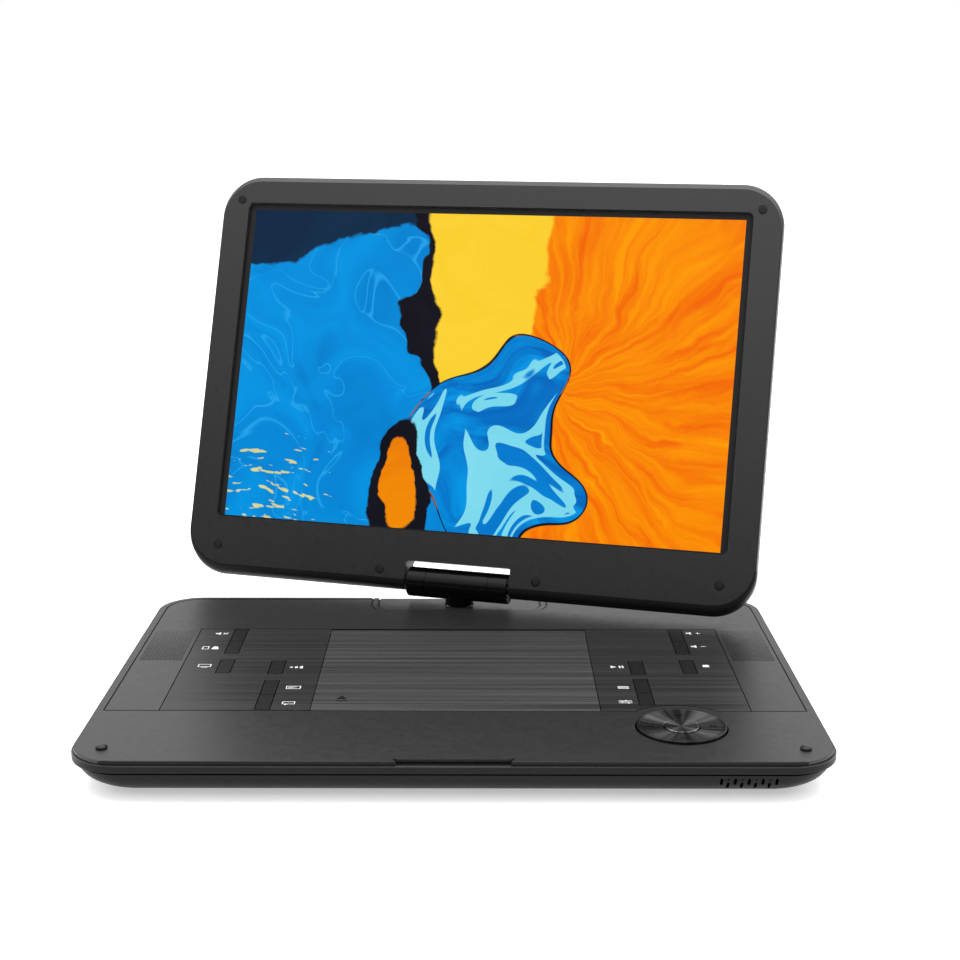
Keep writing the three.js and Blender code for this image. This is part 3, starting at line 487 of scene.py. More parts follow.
# Moulded and brushed finishes give their dark and light levels, then their least and most roughness.
SHELL = moulded("shell", 0.009, 0.013, 0.32, 0.42, depth=0.01, glint=0.46)
LID_SHELL = moulded("lid_shell", 0.006, 0.009, 0.36, 0.46, slot="shell", glint=0.3)
BEZEL_SHELL = moulded("bezel_shell", 0.009, 0.013, 0.26, 0.34, depth=0.002, slot="shell")
# Painted highlight: a lighter copy of the shell for the bezel's top chamfer, where light from above would
# fall on it.
LIP_PAINTED_HIGHLIGHT = moulded("lip_painted_highlight", 0.026, 0.034, 0.3, 0.4, depth=0.004)
# Painted shade: the tub is a darker, duller copy of the shell, standing in for the shade low round the
# player's underside.
TUB_SHELL_SHADED = moulded("tub_shell_painted_shade", 0.004, 0.007, 0.36, 0.46, 1800, slot="shell", glint=0.14)
# Painted shade: a darker, duller copy of the shell for faces in shade: the band under the cover, its rim, the
# recess's grooves, the sides of the door and key panels, and the lid's bottom rounding.
PAINTED_SHADE = moulded("painted_shade", 0.003, 0.005, 0.42, 0.52, depth=0.01, glint=0.16)
DOOR_METAL = brushed("door_brushed", 0.021, 0.125, 0.34, 0.5, Metallic=0.7)
PANEL_METAL = brushed("panel_brushed", 0.006, 0.038, 0.34, 0.5, Metallic=0.5)
KEY_PLASTIC = moulded("key_plastic", 0.002, 0.004, 0.4, 0.52, glint=0.22)
GLOSS_BLACK = moulded("gloss_black", 0.001, 0.002, 0.22, 0.3, 700, 0.002, glint=0.13)
BLACK_PLASTIC = moulded("black_plastic", 0.008, 0.014, 0.45, 0.6)
RUBBER = moulded("rubber", 0.01, 0.018, 0.6, 0.8, 1500, 0.04)
CAP_RUBBER = moulded("cap_rubber", 0.004, 0.006, 0.4, 0.55, 1500, slot="rubber", glint=0.22)
BUMPER_RUBBER = moulded("bumper_rubber", 0.003, 0.006, 0.28, 0.36, 1500, slot="rubber", glint=0.3)
PRINT = moulded("print_white", 0.62, 0.72, 0.45, 0.6, depth=0.006, slot="shell")
DARK_PRINT = moulded("print_dark", 0.002, 0.004, 0.45, 0.55, depth=0.006, glint=0.12)
STEEL = turned_steel()
SPUN_AND_SHEEN = spun()
BOARD = circuit_board()
CELL = cell_wrap()
LENS = lens_glass()


# ---- the lit picture
LIT_W = 331.2
LIT_LOW = 33.3
LIT_HIGH = 241.5


def picture():
    """Poured paint: blue on the left, yellow and orange on the right, pale ribbons between them.
    Places run from -1 to 1 across the lit area, with the same unit upwards."""
    paint = Paint("display", Roughness=0.35, Specular_IOR_Level=0.03)
    half = LIT_W / 2 * MM
    middle = (LIT_LOW + LIT_HIGH) / 2 * MM
    place = paint.split(paint.place)
    across = paint.math("DIVIDE", place[0], half)
    up = paint.math("DIVIDE", paint.math("SUBTRACT", place[2], middle), half)
    flat = paint.combined(across, up)

    def stirred(vector, scale, detail, amount):
        """The place pushed aside by noise, as paint is when it runs."""
        inputs = {"Vector": vector, "Scale": scale, "Detail": detail, "Roughness": 0.5}
        push = paint.node("TexNoise", inputs).outputs["Color"]
        push = paint.vector("SUBTRACT", push, (0.5, 0.5, 0.5))
        return paint.vector("ADD", vector, paint.vector("MULTIPLY", push, (amount, amount, 0.0)))

    def edge(value, at, width):
        return paint.span(value, at - width, at + width)

    def layer(below, mask, dark, light, pattern):
        return paint.blend(mask, below, paint.blend(pattern, rgb(dark), rgb(light)))

    def reach(vector, x, y, wide, tall):
        """One on the rim of an ellipse, less inside it."""
        moved = paint.vector("SUBTRACT", vector, (x, y, 0.0))
        return paint.length(paint.vector("MULTIPLY", moved, (1 / wide, 1 / tall, 0.0)))

    slow = stirred(flat, 1.9, 1.0, 1.05)
    ragged = stirred(stirred(flat, 1.6, 2.0, 0.35), 9.0, 4.0, 0.07)
    x, y = paint.split(ragged)[:2]
    marble = paint.noise(2.6, 4, 0.55, slow, distortion=1.2)
    veins = paint.noise(1.0, 4, 0.6, paint.scaled(2.5, 9, 1, slow), distortion=0.6)

    # the blue, with light threads, and a dark sky over it
    colour = paint.blend(edge(marble, 0.5, 0.22), rgb((0.0, 0.2, 0.6)), rgb((0.0, 0.32, 0.8)))
    thread = paint.noise(3.4, 2, 0.5, slow, distortion=0.8)
    thread = paint.math("ABSOLUTE", paint.math("SUBTRACT", thread, 0.5))
    colour = layer(colour, edge(thread, 0.006, -0.005), (0.0, 0.3, 0.76), (0.03, 0.42, 0.9), veins)
    sky = paint.times(edge(paint.slanted(y, x, -0.16), 0.58, 0.004), edge(x, -0.02, -0.02))
    colour = layer(colour, sky, (0.002, 0.012, 0.035), (0.008, 0.035, 0.09), marble)

    # a black band, then the yellow
    ridge = paint.slanted(x, y, 0.2)
    bank = paint.span(paint.noise(3.1, 3, 0.5, flat), 0.35, 0.65, -0.06, 0.06)
    black = edge(paint.plus(ridge, bank), -0.21, 0.004)
    colour = layer(colour, black, (0.001, 0.001, 0.004), (0.012, 0.01, 0.02), veins)
    colour = layer(colour, edge(ridge, -0.15, 0.004), (0.95, 0.56, 0.01), (1.0, 0.7, 0.05), veins)

    # the orange, with rays that spread from its left side
    sun = edge(paint.slanted(x, y, -0.25), 0.13, 0.006)
    offset = paint.vector("SUBTRACT", ragged, (0.3, -0.1, 0.0))
    arms = paint.split(offset)
    angle = paint.math("ARCTAN2", arms[1], arms[0])
    spokes = paint.combined(paint.times(angle, 5.0), paint.length(offset))
    rays = paint.noise(2.2, 4, 0.6, spokes, distortion=0.4)
    colour = layer(colour, sun, (0.9, 0.13, 0.0), (1.0, 0.33, 0.0), edge(rays, 0.5, 0.18))

    # a pool of darker blue with pale ribbons, and an ember beside it
    pool = reach(slow, 0.08, -0.34, 0.33, 0.46)
    rim = edge(pool, 1.03, -0.006)
    colour = layer(colour, rim, (0.001, 0.002, 0.01), (0.3, 0.1, 0.0), edge(marble, 0.5, 0.02))
    pool_edge = edge(pool, 1.0, -0.006)
    colour = layer(colour, pool_edge, (0.0, 0.13, 0.5), (0.0, 0.3, 0.78), edge(veins, 0.5, 0.12))
    ribbon = paint.noise(2.0, 1, 0.4, slow, distortion=2.4)
    pale = paint.times(edge(ribbon, 0.5, 0.003), edge(pool, 0.93, -0.006))
    colour = layer(colour, pale, (0.14, 0.62, 0.8), (0.27, 0.77, 0.9), marble)
    drops = paint.times(edge(ribbon, 0.62, 0.003), edge(pool, 0.9, -0.006))
    colour = layer(colour, drops, (0.0, 0.13, 0.5), (0.0, 0.27, 0.75), veins)
    ember = reach(ragged, -0.27, -0.43, 0.075, 0.17)
    colour = layer(colour, edge(ember, 1.45, -0.03), (0.001, 0.001, 0.003), (0.01, 0.01, 0.02), marble)
    colour = layer(colour, edge(ember, 0.95, -0.03), (0.75, 0.12, 0.0), (1.0, 0.36, 0.0), veins)

    # pale flecks low on the left
    fleck_noise = paint.noise(1.0, 2, 0.5, paint.scaled(13, 46, 1, stirred(flat, 2.0, 1.0, 0.2)))
    fleck_zone = paint.times(edge(across, -0.52, -0.2), edge(up, -0.27, -0.1))
    flecks = edge(paint.plus(fleck_noise, paint.span(fleck_zone, 0.0, 1.0, -0.3, 0.0)), 0.6, 0.012)
    colour = layer(colour, flecks, (0.55, 0.5, 0.08), (0.8, 0.85, 0.5), marble)

    inside_x = paint.math("LESS_THAN", paint.math("ABSOLUTE", across), 1.0)
    inside_y = paint.math("LESS_THAN", paint.math("ABSOLUTE", up), (LIT_HIGH - LIT_LOW) / LIT_W)
    front = paint.math("LESS_THAN", place[1], (PANEL.y0 + 0.1) * MM)
    lit = paint.times(paint.times(inside_x, inside_y), front)
    paint.feed(paint.shader.inputs["Base Color"], paint.blend(lit, rgb(0.02), rgb(0.001)))
    paint.feed(paint.shader.inputs["Emission Color"], paint.blend(lit, rgb(0.0), colour))
    paint.shader.inputs["Emission Strength"].default_value = 1.0
    return paint


DISPLAY = picture()


# ---- base tray
CORNER_R = 26.0
FLANGE_LOW = 14.8
BAND_LOW = 13.0  # a channel runs round under the flange; from here up the tray gets painted shade
TUB_INSET = {"side": 3.0, "front": 3.0, "back": 1.2}
TUB_BELLY = {"side": 26.0, "front": 20.0, "back": 3.0}
BAND_INSET = {"side": 4.3, "front": 4.3, "back": 2.2}
MOUTH_INSET = {"side": 5.1, "front": 5.1, "back": 3.3}
TUB_WALL = 2.1
TUB_FLOOR = 2.0
LEDGE_Z = COVER.z0 - 0.05  # the flange comes up close under the cover, and shows as a thin light line
SCOOP_HALF = 30.0
SCOOP_MOUTH = 27.2
SCOOP_LIP = COVER.y0 + 3.8
VENT_X = 145.0
VENT_PITCH = 3.4
VENT_W = 1.5
VENT_ROWS = ((7.2, 11.4), (4.4, 8.8))
VENT_PINHOLE_Z = 10.7
FEET = ("foot_front_left", "foot_front_right", "foot_rear_left", "foot_rear_right")
JACK_HOLES = {"dc_jack": 3.2, "av_jack": 2.7, "headphone_jack": 2.7}


def tray_outline(side, front, back, r):
    return rounded(TRAY.x0 + side, TRAY.x1 - side, TRAY.y0 + front, TRAY.y1 - back, r)


def even_outline(inset):
    return tray_outline(inset, inset, inset, CORNER_R - inset)


def belly(name, z0, wall, steps=14):
    """The tub's quarter-ellipse underside, wall millimetres inside its outer skin."""
    levels = []
    for step in range(steps + 1):
        angle = step / steps * pi / 2
        drawn = 1 - sin(angle)
        insets = [TUB_INSET[part] + wall + TUB_BELLY[part] * drawn for part in ("side", "front", "back")]
        r = CORNER_R - TUB_INSET["side"] - wall - CORNER_R / 3 * drawn
        levels.append((tray_outline(*insets, r), z0 + (FLANGE_LOW - z0) * (1 - cos(angle))))
    return stack(name, levels)


def finger_scoop():
    """The scoop in the cover's front edge that a finger opens the closed lid with."""
    front = TRAY.y0 - OVER
    outline = [(-SCOOP_MOUTH, front), (SCOOP_MOUTH, front), (SCOOP_HALF, SCOOP_LIP), (-SCOOP_HALF, SCOOP_LIP)]
    return prism("scoop", outline, COVER.z0 - OVER, DECK_Z + OVER)


def vent_slots():
    """Two staggered rows of slots, with a pinhole over each low one."""
    half = VENT_W / 2
    span = (TRAY.y0, TRAY.y0 + 22)
    slots = []
    for i in range(-4, 5):
        x = VENT_X + i * VENT_PITCH
        slot = rounded(x - half, x + half, *VENT_ROWS[i % 2], 0.7, 6)
        slots.append(prism("vent", slot, *span, turn=rearwards))
        if i % 2:
            slots.append(prism("pinhole", circle(x, VENT_PINHOLE_Z, 0.5, 16), *span, turn=rearwards))
    return slots


def rear_holes():
    """Holes round the sockets and the power slider, each a little larger than what stands in it."""
    jacks = [(Span(node), r) for node, r in JACK_HOLES.items()]
    outlines = [circle(span.cx, span.cz, r, 40) for span, r in jacks]
    usb = Span("usb_port")
    outlines.append(rounded(usb.x0 - 0.2, usb.x1 + 0.2, usb.z0 - 0.2, usb.z1 + 0.2, 0.5, 4))
    power = Span("power_switch")
    middle = power.cx + JOINTS["power_switch"]["range_m"][1] / MM / 2
    outlines.append(rounded(middle - 5.5, middle + 5.5, power.cz - 1.8, power.cz + 1.8, 0.8, 6))
    return [prism("hole", outline, TRAY.y1 - 8, TRAY.y1 + OVER, turn=rearwards) for outline in outlines]


def base_tray():
    """A shallow tub with a flange round its top, parted by a channel, with painted shade on the channel and
    the flange's side.
    """
    tub = belly("base_tray_fine", 0.0, 0.0)
    flange = ((0.7, FLANGE_LOW), (0.2, FLANGE_LOW + 0.2), (0.0, FLANGE_LOW + 0.7))
    flange += ((0.0, LEDGE_Z - 0.5), (0.15, LEDGE_Z - 0.15), (0.5, LEDGE_Z))
    channel = prism("channel", even_outline(-OVER), BAND_LOW, FLANGE_LOW)
    core = tray_outline(*BAND_INSET.values(), CORNER_R - BAND_INSET["side"])
    cut(channel, prism("core", core, BAND_LOW - OVER, FLANGE_LOW + OVER))
    cut(tub, channel)
    join(tub, stack("flange", [(even_outline(inset), z) for inset, z in flange]))
    mouth = tray_outline(*MOUTH_INSET.values(), CORNER_R - MOUTH_INSET["side"])
    mouth = prism("mouth", mouth, FLANGE_LOW - 0.01, TRAY.z1 + OVER)
    cut(tub, belly("hollow", TUB_FLOOR, TUB_WALL), mouth)
    pockets = [prism("pocket", circle(f.cx, f.cy, f.w / 2 + 0.3), -OVER, 1.0) for f in map(Span, FEET)]
    scoop = (-SCOOP_HALF, SCOOP_HALF, TRAY.y0 + 1.1, TRAY.y0 + 6, TRAY.z1, TRAY.z1 + OVER)
    cut(tub, *vent_slots(), *rear_holes(), *pockets, block("scoop_floor", *scoop))
    # The tub takes the darker shell as painted shade, the channel and the flange take painted shade, and the
    # flange's top and chamfer, but for the scoop's floor, keep the plain shell.
    show(soften(tub), "base", TUB_SHELL_SHADED, "base_tray")
    paint_faces(tub, PAINTED_SHADE, lambda x, y, z: z > BAND_LOW - 0.01)
    paint_faces(tub, SHELL, lambda x, y, z: z > LEDGE_Z - 0.51 and abs(z - TRAY.z1) > 0.01)


def feet():
    for name in FEET:
        span = Span(name)
        r = span.w / 2
        hollow = [(0, span.z0 + 0.25), (r - 2.4, span.z0 + 0.25), (r - 1.9, span.z0)]
        profile = [*hollow, *arc(r - 0.5, span.z0 + 0.5, 0.5, -90, 0, 5), (r, span.z1), (0, span.z1)]
        foot = lathe(f"{name}_fine", span.cx, span.cy, profile, 64)
        show(soften(foot), "base", RUBBER, name)


# ---- top cover
SCALLOP_R = 31.5
RING_HOLE_R = 24.0
FIELD = PANELS["left"]
FIELD_X = -FIELD.x0 + 0.4
FIELD_FRONT = FIELD.y0 - 0.4
FIELD_BACK = FIELD.y1 + 0.4
GROOVE_X = 185.5
GROOVE_BACK = 131.6
GROOVE_R = 20.4
GROOVE_W = 0.9
GROOVE_DEPTH = 0.7
PILL_X = 56.5
PILL_FRONT = 108.4
PILL_R = 12.0
PILL_STEPS = ((0.0, 0.35), (4.2, 0.8))  # each step's inset and depth
RIM_W = 1.1
RIM_H = 0.45


def field_outline(x0, x1, gap):
    """The field of door and key panels, with its front edge drawn back round the control ring."""
    y0 = FIELD_FRONT + gap
    y1 = FIELD_BACK - gap
    points = [(x0, y0)]
    if x1 > RING.cx:
        r = SCALLOP_R + gap
        rise = y0 - RING.cy
        start = degrees(atan2(rise, sqrt(r * r - rise * rise)))
        points.extend(arc(RING.cx, RING.cy, r, 180 - start, start, 48))
    return [*points, (x1, y0), (x1, y1), (x0, y1)]


def trim_groove():
    """A thin groove up both sides and round the rear corners, with a spur in to the field on each side."""
    half = GROOVE_W / 2
    low = DECK_Z - GROOVE_DEPTH
    high = DECK_Z + OVER
    front = FIELD_FRONT - half
    far = TRAY.y0 * 2
    outer = rounded(-GROOVE_X - half, GROOVE_X + half, far, GROOVE_BACK + half, GROOVE_R + half)
    inner = rounded(-GROOVE_X + half, GROOVE_X - half, far - OVER, GROOVE_BACK - half, GROOVE_R - half)
    groove = prism("groove", outer, low, high)
    cut(groove, prism("island", inner, low - OVER, high + OVER))
    cut(groove, block("front_half", 2 * TRAY.x0, 2 * TRAY.x1, 2 * far, front, low - OVER, high + OVER))
    ends = [sorted((side * (FIELD_X - OVER), side * GROOVE_X)) for side in (-1, 1)]
    return [groove, *[block("spur", *end, front, front + 2 * half, low, high) for end in ends]]


def pill_recess():
    """The stepped recess that the hinge stands in, open to the rear, with a groove along each step."""

    def outline(inset):
        back = TRAY.y1 + 2 * PILL_R
        return rounded(-PILL_X + inset, PILL_X - inset, PILL_FRONT + inset, back, PILL_R - inset)

    tools = []
    for inset, depth in PILL_STEPS:
        tools.append(prism("pill", outline(inset), DECK_Z - depth, DECK_Z + OVER))
        groove = prism("groove", outline(inset), DECK_Z - depth - 0.6, DECK_Z + OVER)
        tools.append(cut(groove, prism("island", outline(inset + 1.3), 0, DECK_Z + 2 * OVER)))
    return tools


def top_cover():
    inset = COVER.x0 - TRAY.x0
    levels = [(even_outline(inset), COVER.z0), (even_outline(inset), DECK_Z - RIM_H)]
    for x, z in arc(0, 0, RIM_W, 180, 90, 8, RIM_H)[1:]:
        levels.append((even_outline(inset + RIM_W + x), DECK_Z - RIM_H + z))
    cover = stack("top_cover_fine", levels)
    through = (COVER.z0 - OVER, DECK_Z + OVER)
    shaft_hole = circle(0, TILT_POINT.y / MM, SHAFT.w / 2 + 0.3)
    openings = [
        prism("field", field_outline(-FIELD_X - 0.1, FIELD_X + 0.1, -0.35), *through),
        prism("ring_hole", circle(RING.cx, RING.cy, RING_HOLE_R, 128), *through),
        prism("shaft_hole", shaft_hole, COVER.z0 - OVER, DECK_Z - 0.5),
    ]
    for grille in GRILLES.values():
        openings.append(block("opening", grille.x0, grille.x1, grille.y0, grille.y1, *through))
    cut(cover, *openings)
    cut(cover, *trim_groove(), *pill_recess())
    cut(cover, finger_scoop())
    show(soften(cover, 0.18, 2, 40), "base", SHELL, "top_cover")
    rim = inset + RIM_W

    def in_shade(x, y, z):
        """Faces that get painted shade: the rounded rim, but not the scoop's wall, and the walls of the
        recess's grooves.
        """
        down = DECK_Z - z
        within_x = TRAY.x0 + rim < x < TRAY.x1 - rim
        on_rim = not (within_x and TRAY.y0 + rim < y < TRAY.y1 - rim) and abs(y - SCOOP_LIP) > 1
        in_groove = y > PILL_FRONT - 0.5 and abs(x) < PILL_X + 0.5 and (0.4 < down < 0.75 or down > 0.85)
        return down > 0.03 and (on_rim or in_groove)

    paint_faces(cover, PAINTED_SHADE, in_shade)


def bumpers():
    for side in ("left", "right"):
        span = Span(f"deck_bumper_{side}")
        r = span.w / 2
        dome = arc(0, DECK_Z + 0.5, r, 0, 90, 10, span.z1 - DECK_Z - 0.5)
        bumper = lathe(f"deck_bumper_{side}_fine", span.cx, span.cy, [(0, DECK_Z), (r, DECK_Z), *dome], 48)
        show(soften(bumper), "base", BUMPER_RUBBER, f"deck_bumper_{side}")


# ---- speaker grilles
def perforated(name, span, cell=1.25):
    """A plate with round holes in every other cell, which shrink towards its back edge."""
    columns = round(span.w / cell)
    rows = round(span.d / cell)
    dx = span.w / columns
    dy = span.d / rows
    points = []
    faces = []

    def add(*corners):
        start = len(points)
        points.extend(corners)
        faces.append(tuple(range(start, start + len(corners))))

    for i in range(columns):
        for j in range(rows):
            x = span.x0 + (i + 0.5) * dx
            y = span.y0 + (j + 0.5) * dy
            sides = ((1, 0), (1, 1), (0, 1), (-1, 1), (-1, 0), (-1, -1), (0, -1), (1, -1))
            border = [(x + dx / 2 * u, y + dy / 2 * v) for u, v in sides]
            if (i + j) % 2:
                add(*[(*point, span.z1) for point in border])
                add(*[(*point, span.z0) for point in reversed(border)])
                continue
            fade = (j + 0.5) / rows
            hole = circle(x, y, 0.61 - 0.32 * fade * fade, 8)
            for k in range(8):
                n = (k + 1) % 8
                add((*hole[k], span.z1), (*border[k], span.z1), (*border[n], span.z1), (*hole[n], span.z1))
                add((*hole[n], span.z0), (*border[n], span.z0), (*border[k], span.z0), (*hole[k], span.z0))
                add((*hole[k], span.z0), (*hole[k], span.z1), (*hole[n], span.z1), (*hole[n], span.z0))
    corners = box_outline(span.x0, span.x1, span.y0, span.y1)
    rim = []
    for (x0, y0), (x1, y1), count in zip(corners, corners[1:] + corners[:1], (2 * columns, 2 * rows) * 2):
        rim.extend((x0 + (x1 - x0) * k / count, y0 + (y1 - y0) * k / count) for k in range(count))
    for a, b in zip(rim, rim[1:] + rim[:1]):
        add((*a, span.z0), (*b, span.z0), (*b, span.z1), (*a, span.z1))
    return mesh_object(name, points, faces)


def speakers():
    for side, span in GRILLES.items():
        grille = perforated(f"speaker_grille_{side}_fine", span)
        show(soften(grille), "base", SHELL, f"speaker_grille_{side}")


# ---- key panels and keys
KEYS = [node for node in frame["nodes"] if node in JOINTS and node.startswith("key_")]
KEY_GAP_X = 0.5
KEY_GAP_Y = 0.6


def key_panels():
    below = COVER.z0 - OVER
    for side, span in PANELS.items():
        panel = prism(f"key_panel_{side}_fine", field_outline(span.x0, span.x1, 0.5), COVER.z0, DECK_Z)
        holes = []
        for key in map(Span, KEYS):
            if key.cx * span.cx > 0:
                across = (key.x0 - KEY_GAP_X, key.x1 + KEY_GAP_X)
                along = (key.y0 - KEY_GAP_Y, key.y1 + KEY_GAP_Y)
                holes.append(block("hole", *across, *along, below, DECK_Z + OVER))
        lug = sorted(copysign(x, span.cx) for x in (DOOR.x1, DOOR.x1 + 5))
        holes.append(block("lug_room", *lug, FIELD_BACK - 6, FIELD_BACK + OVER, below, DECK_Z - 0.9))
        cut(panel, *holes)
        show(soften(panel, 0.12), "base", PANEL_METAL, f"key_panel_{side}")
        # Painted shade on the panel's sides below the deck, in the gaps round it.
        paint_faces(panel, PAINTED_SHADE, lambda x, y, z: z < DECK_Z - 0.15)
    dimple = [(0, DECK_Z - 0.35), *arc(0, DECK_Z, 0.55, -40, 0, 4, 0.35)]
    dimple += [(0.55, DECK_Z + OVER), (0, DECK_Z + OVER)]
    for name in KEYS:
        span = Span(name)
        key = cut(copy_of(name), lathe("dimple", span.cx, span.cy, dimple, 24))
        show(soften(key, 0.3, 3), name, KEY_PLASTIC, name)


# ---- control ring
def control_ring():
    """The tilting ring, which falls to its middle, and the dished key in it.
    Both are turned about their own axis, for the spun metal's painted reflection to fan out from."""
    middle = Matrix.Translation((RING.cx * MM, RING.cy * MM, 0))
    r = RING.w / 2
    bore = OK_KEY.w / 2 + 0.6
    top = RING.z1
    run = r - 2.2 - bore
    profile = [
        (bore, RING.z0),
        (r, RING.z0),
        *arc(r - 0.45, top - 0.7, 0.45, 0, 90, 6, 0.7),
        *arc(r - 1.2, top - 0.3, 0.4, 90, 180, 4, 0.3),
        *[(bore + 0.4 + run * t, DECK_Z + 0.5 + 0.62 * t * t) for t in (0.97, 0.85, 0.7, 0.55, 0.4, 0.2, 0)],
        (bore, DECK_Z + 0.3),
    ]
    ring = lathe("nav_ring_fine", 0, 0, profile, 160, middle)
    show(soften(ring), "nav_ring", SPUN_AND_SHEEN, "nav_ring")
    r = OK_KEY.w / 2
    top = OK_KEY.z1
    dish = [(r * t, top - 0.3 * (1 - t * t)) for t in (0.86, 0.7, 0.5, 0.3, 0.15, 0)]
    profile = [(0, OK_KEY.z0), (r, OK_KEY.z0), *arc(r - 0.7, top - 0.7, 0.7, 0, 90, 6), *dish]
    key = lathe("nav_ok_key_fine", 0, 0, profile, 96, middle)
    show(soften(key), "nav_ok_key", SPUN_AND_SHEEN, "nav_ok_key")


# ---- printed marks
# A sign is a list of outlines, drawn round its own middle.
MARK_T = 0.05
SIGN_GROWTH = 1.5
RING_SIGN_R = 16.2
RING_SIGNS = ((-RING_SIGN_R, 0, 180), (RING_SIGN_R, 0, 0), (0, -RING_SIGN_R, 180), (0, RING_SIGN_R, 0))


def moved(sign, x, y, grow=1.0):
    return [[(x + grow * px, y + grow * py) for px, py in outline] for outline in sign]


def bar(x, y, w, h):
    return [box_outline(x - w / 2, x + w / 2, y - h / 2, y + h / 2)]


def box(x, y, w, h, line=0.35):
    """The four sides of a rectangle."""
    sides = []
    for side in (-1, 1):
        sides += bar(x, y + side * (h - line) / 2, w, line)
        sides += bar(x + side * (w - line) / 2, y, line, h - 2 * line - 0.02)
    return sides


def slash(turn, low, high):
    """A thin bar from low to high on a line turned by that many degrees."""
    c = cos(radians(turn))
    s = sin(radians(turn))
    return [[(c * a - s * b, s * a + c * b) for a, b in box_outline(low, high, -0.2, 0.2)]]


def wedge(x, y, size, turn=0):
    """A triangle that points to the right, or turned by that many degrees."""
    angles = [radians(turn + corner) for corner in (0, 120, 240)]
    return [[(x + size * cos(a), y + size * sin(a)) for a in angles]]


def slider(y, knob):
    """A line with a knob on it."""
    left = bar((knob - 2.4) / 2 - 0.2, y, knob + 2.0, 0.3)
    right = bar((knob + 2.4) / 2 + 0.2, y, 2.0 - knob, 0.3)
    return [*left, *bar(knob, y, 0.7, 0.9), *right]


PLAYER = [*bar(1.6, 0.9, 1.6, 1.2), *bar(1.6, -0.75, 2.6, 1.9)]
SHORT_LINES = [*bar(-0.4, 0.4, 3.0, 0.35), *bar(-0.9, -0.5, 2.0, 0.35)]
SOUND = [*bar(-1.9, 0, 0.8, 1.3), [(-1.4, -0.65), (-0.2, -1.5), (-0.2, 1.5), (-1.4, 0.65)]]
CROSS = [*slash(45, -1.3, 1.3), *slash(135, -1.23, -0.33), *slash(135, 0.33, 1.23)]
SOFTER = [*moved(SOUND, -0.8, 0), *bar(1.7, 0, 1.8, 0.4)]
BUBBLE_TAIL = [(-1.4, -1.05), (-0.2, -1.05), (-1.2, -1.9)]
# Where each key's sign stands from the key's centre, and the sign.
KEY_SIGNS = {
    "key_mute": (-11.2, 2.4, [*SOUND, *moved(CROSS, 1.7, 0)]),
    "key_source": (-13.2, -1.4, [*box(-2.2, 0, 2.6, 3.4), *PLAYER]),
    "key_picture": (-12.0, 0.3, [*box(0, 0.4, 5.0, 3.0), *bar(0, -1.6, 2.4, 0.4)]),
    "key_mode": (11.1, 0.6, [*bar(-1.9, -0.6, 1.1, 1.0), *bar(0, -0.6, 1.1, 1.7), *bar(1.9, -0.6, 1.1, 2.4)]),
    "key_display": (13.0, -0.5, [*box(0, 0, 5.4, 3.0), *SHORT_LINES]),
    "key_language": (13.0, -2.0, [*box(0, 0.3, 4.6, 2.6), BUBBLE_TAIL]),
    "key_volume_up": (10.8, 4.4, [*SOFTER, *bar(1.7, -0.58, 0.4, 0.7), *bar(1.7, 0.58, 0.4, 0.7)]),
    "key_volume_down": (10.8, 2.4, SOFTER),
    "key_stop": (10.2, 1.4, bar(0, 0, 2.4, 2.4)),
    "key_play": (-11.3, 1.1, [*wedge(-1.6, 0, 1.5), *bar(1.1, 0, 0.6, 2.5), *bar(2.2, 0, 0.6, 2.5)]),
    "key_menu": (-10.5, -3.2, [*bar(0, -1, 4.0, 0.45), *bar(0, 0, 4.0, 0.45), *bar(0, 1, 4.0, 0.45)]),
    "key_setup": (-11.2, -4.6, [*slider(-1.1, 1.0), *slider(0, -1.1), *slider(1.1, 0.3)]),
}


def print_sign(name, sign, z, body, paint, slot=None):
    shapes = [prism(name, outline, z, z + MARK_T) for outline in sign]
    show(soften(merge(name, shapes)), body, paint, slot=slot)


def printed_marks():
    for side, panel in PANELS.items():
        signs = []
        for name, (dx, dy, sign) in KEY_SIGNS.items():
            key = Span(name)
            if key.cx * panel.cx > 0:
                signs += moved(sign, key.cx + dx, key.cy + dy, SIGN_GROWTH)
        print_sign(f"key_signs_{side}", signs, DECK_Z, "base", PRINT)
    lift_sign = moved([*wedge(0, 4.2, 3.4, 90), *bar(0, 0, 6.2, 1.2)], DOOR.x0 + 15.2, DOOR.y0 + 14.4)
    print_sign("door_sign", lift_sign, DECK_Z, "disc_door", DARK_PRINT, "door_brushed")
    arrows = []
    for x, y, turn in RING_SIGNS:
        arrows += moved([*wedge(-1.1, 0, 1.4, turn), *wedge(1.1, 0, 1.4, turn)], RING.cx + x, RING.cy + y)
    print_sign("ring_signs", arrows, DECK_Z + 0.86, "nav_ring", DARK_PRINT, "spun_metal")


# ---- disc door, well and drive
def disc_door():
    door = refine("disc_door", "disc_door", DOOR_METAL, 0.12)
    # Painted shade on the door's sides below the deck, in the gap round it.
    paint_faces(door, PAINTED_SHADE, lambda x, y, z: z < DECK_Z - 0.15)


LENS_R = 2.3
THREAD_TURNS = 22


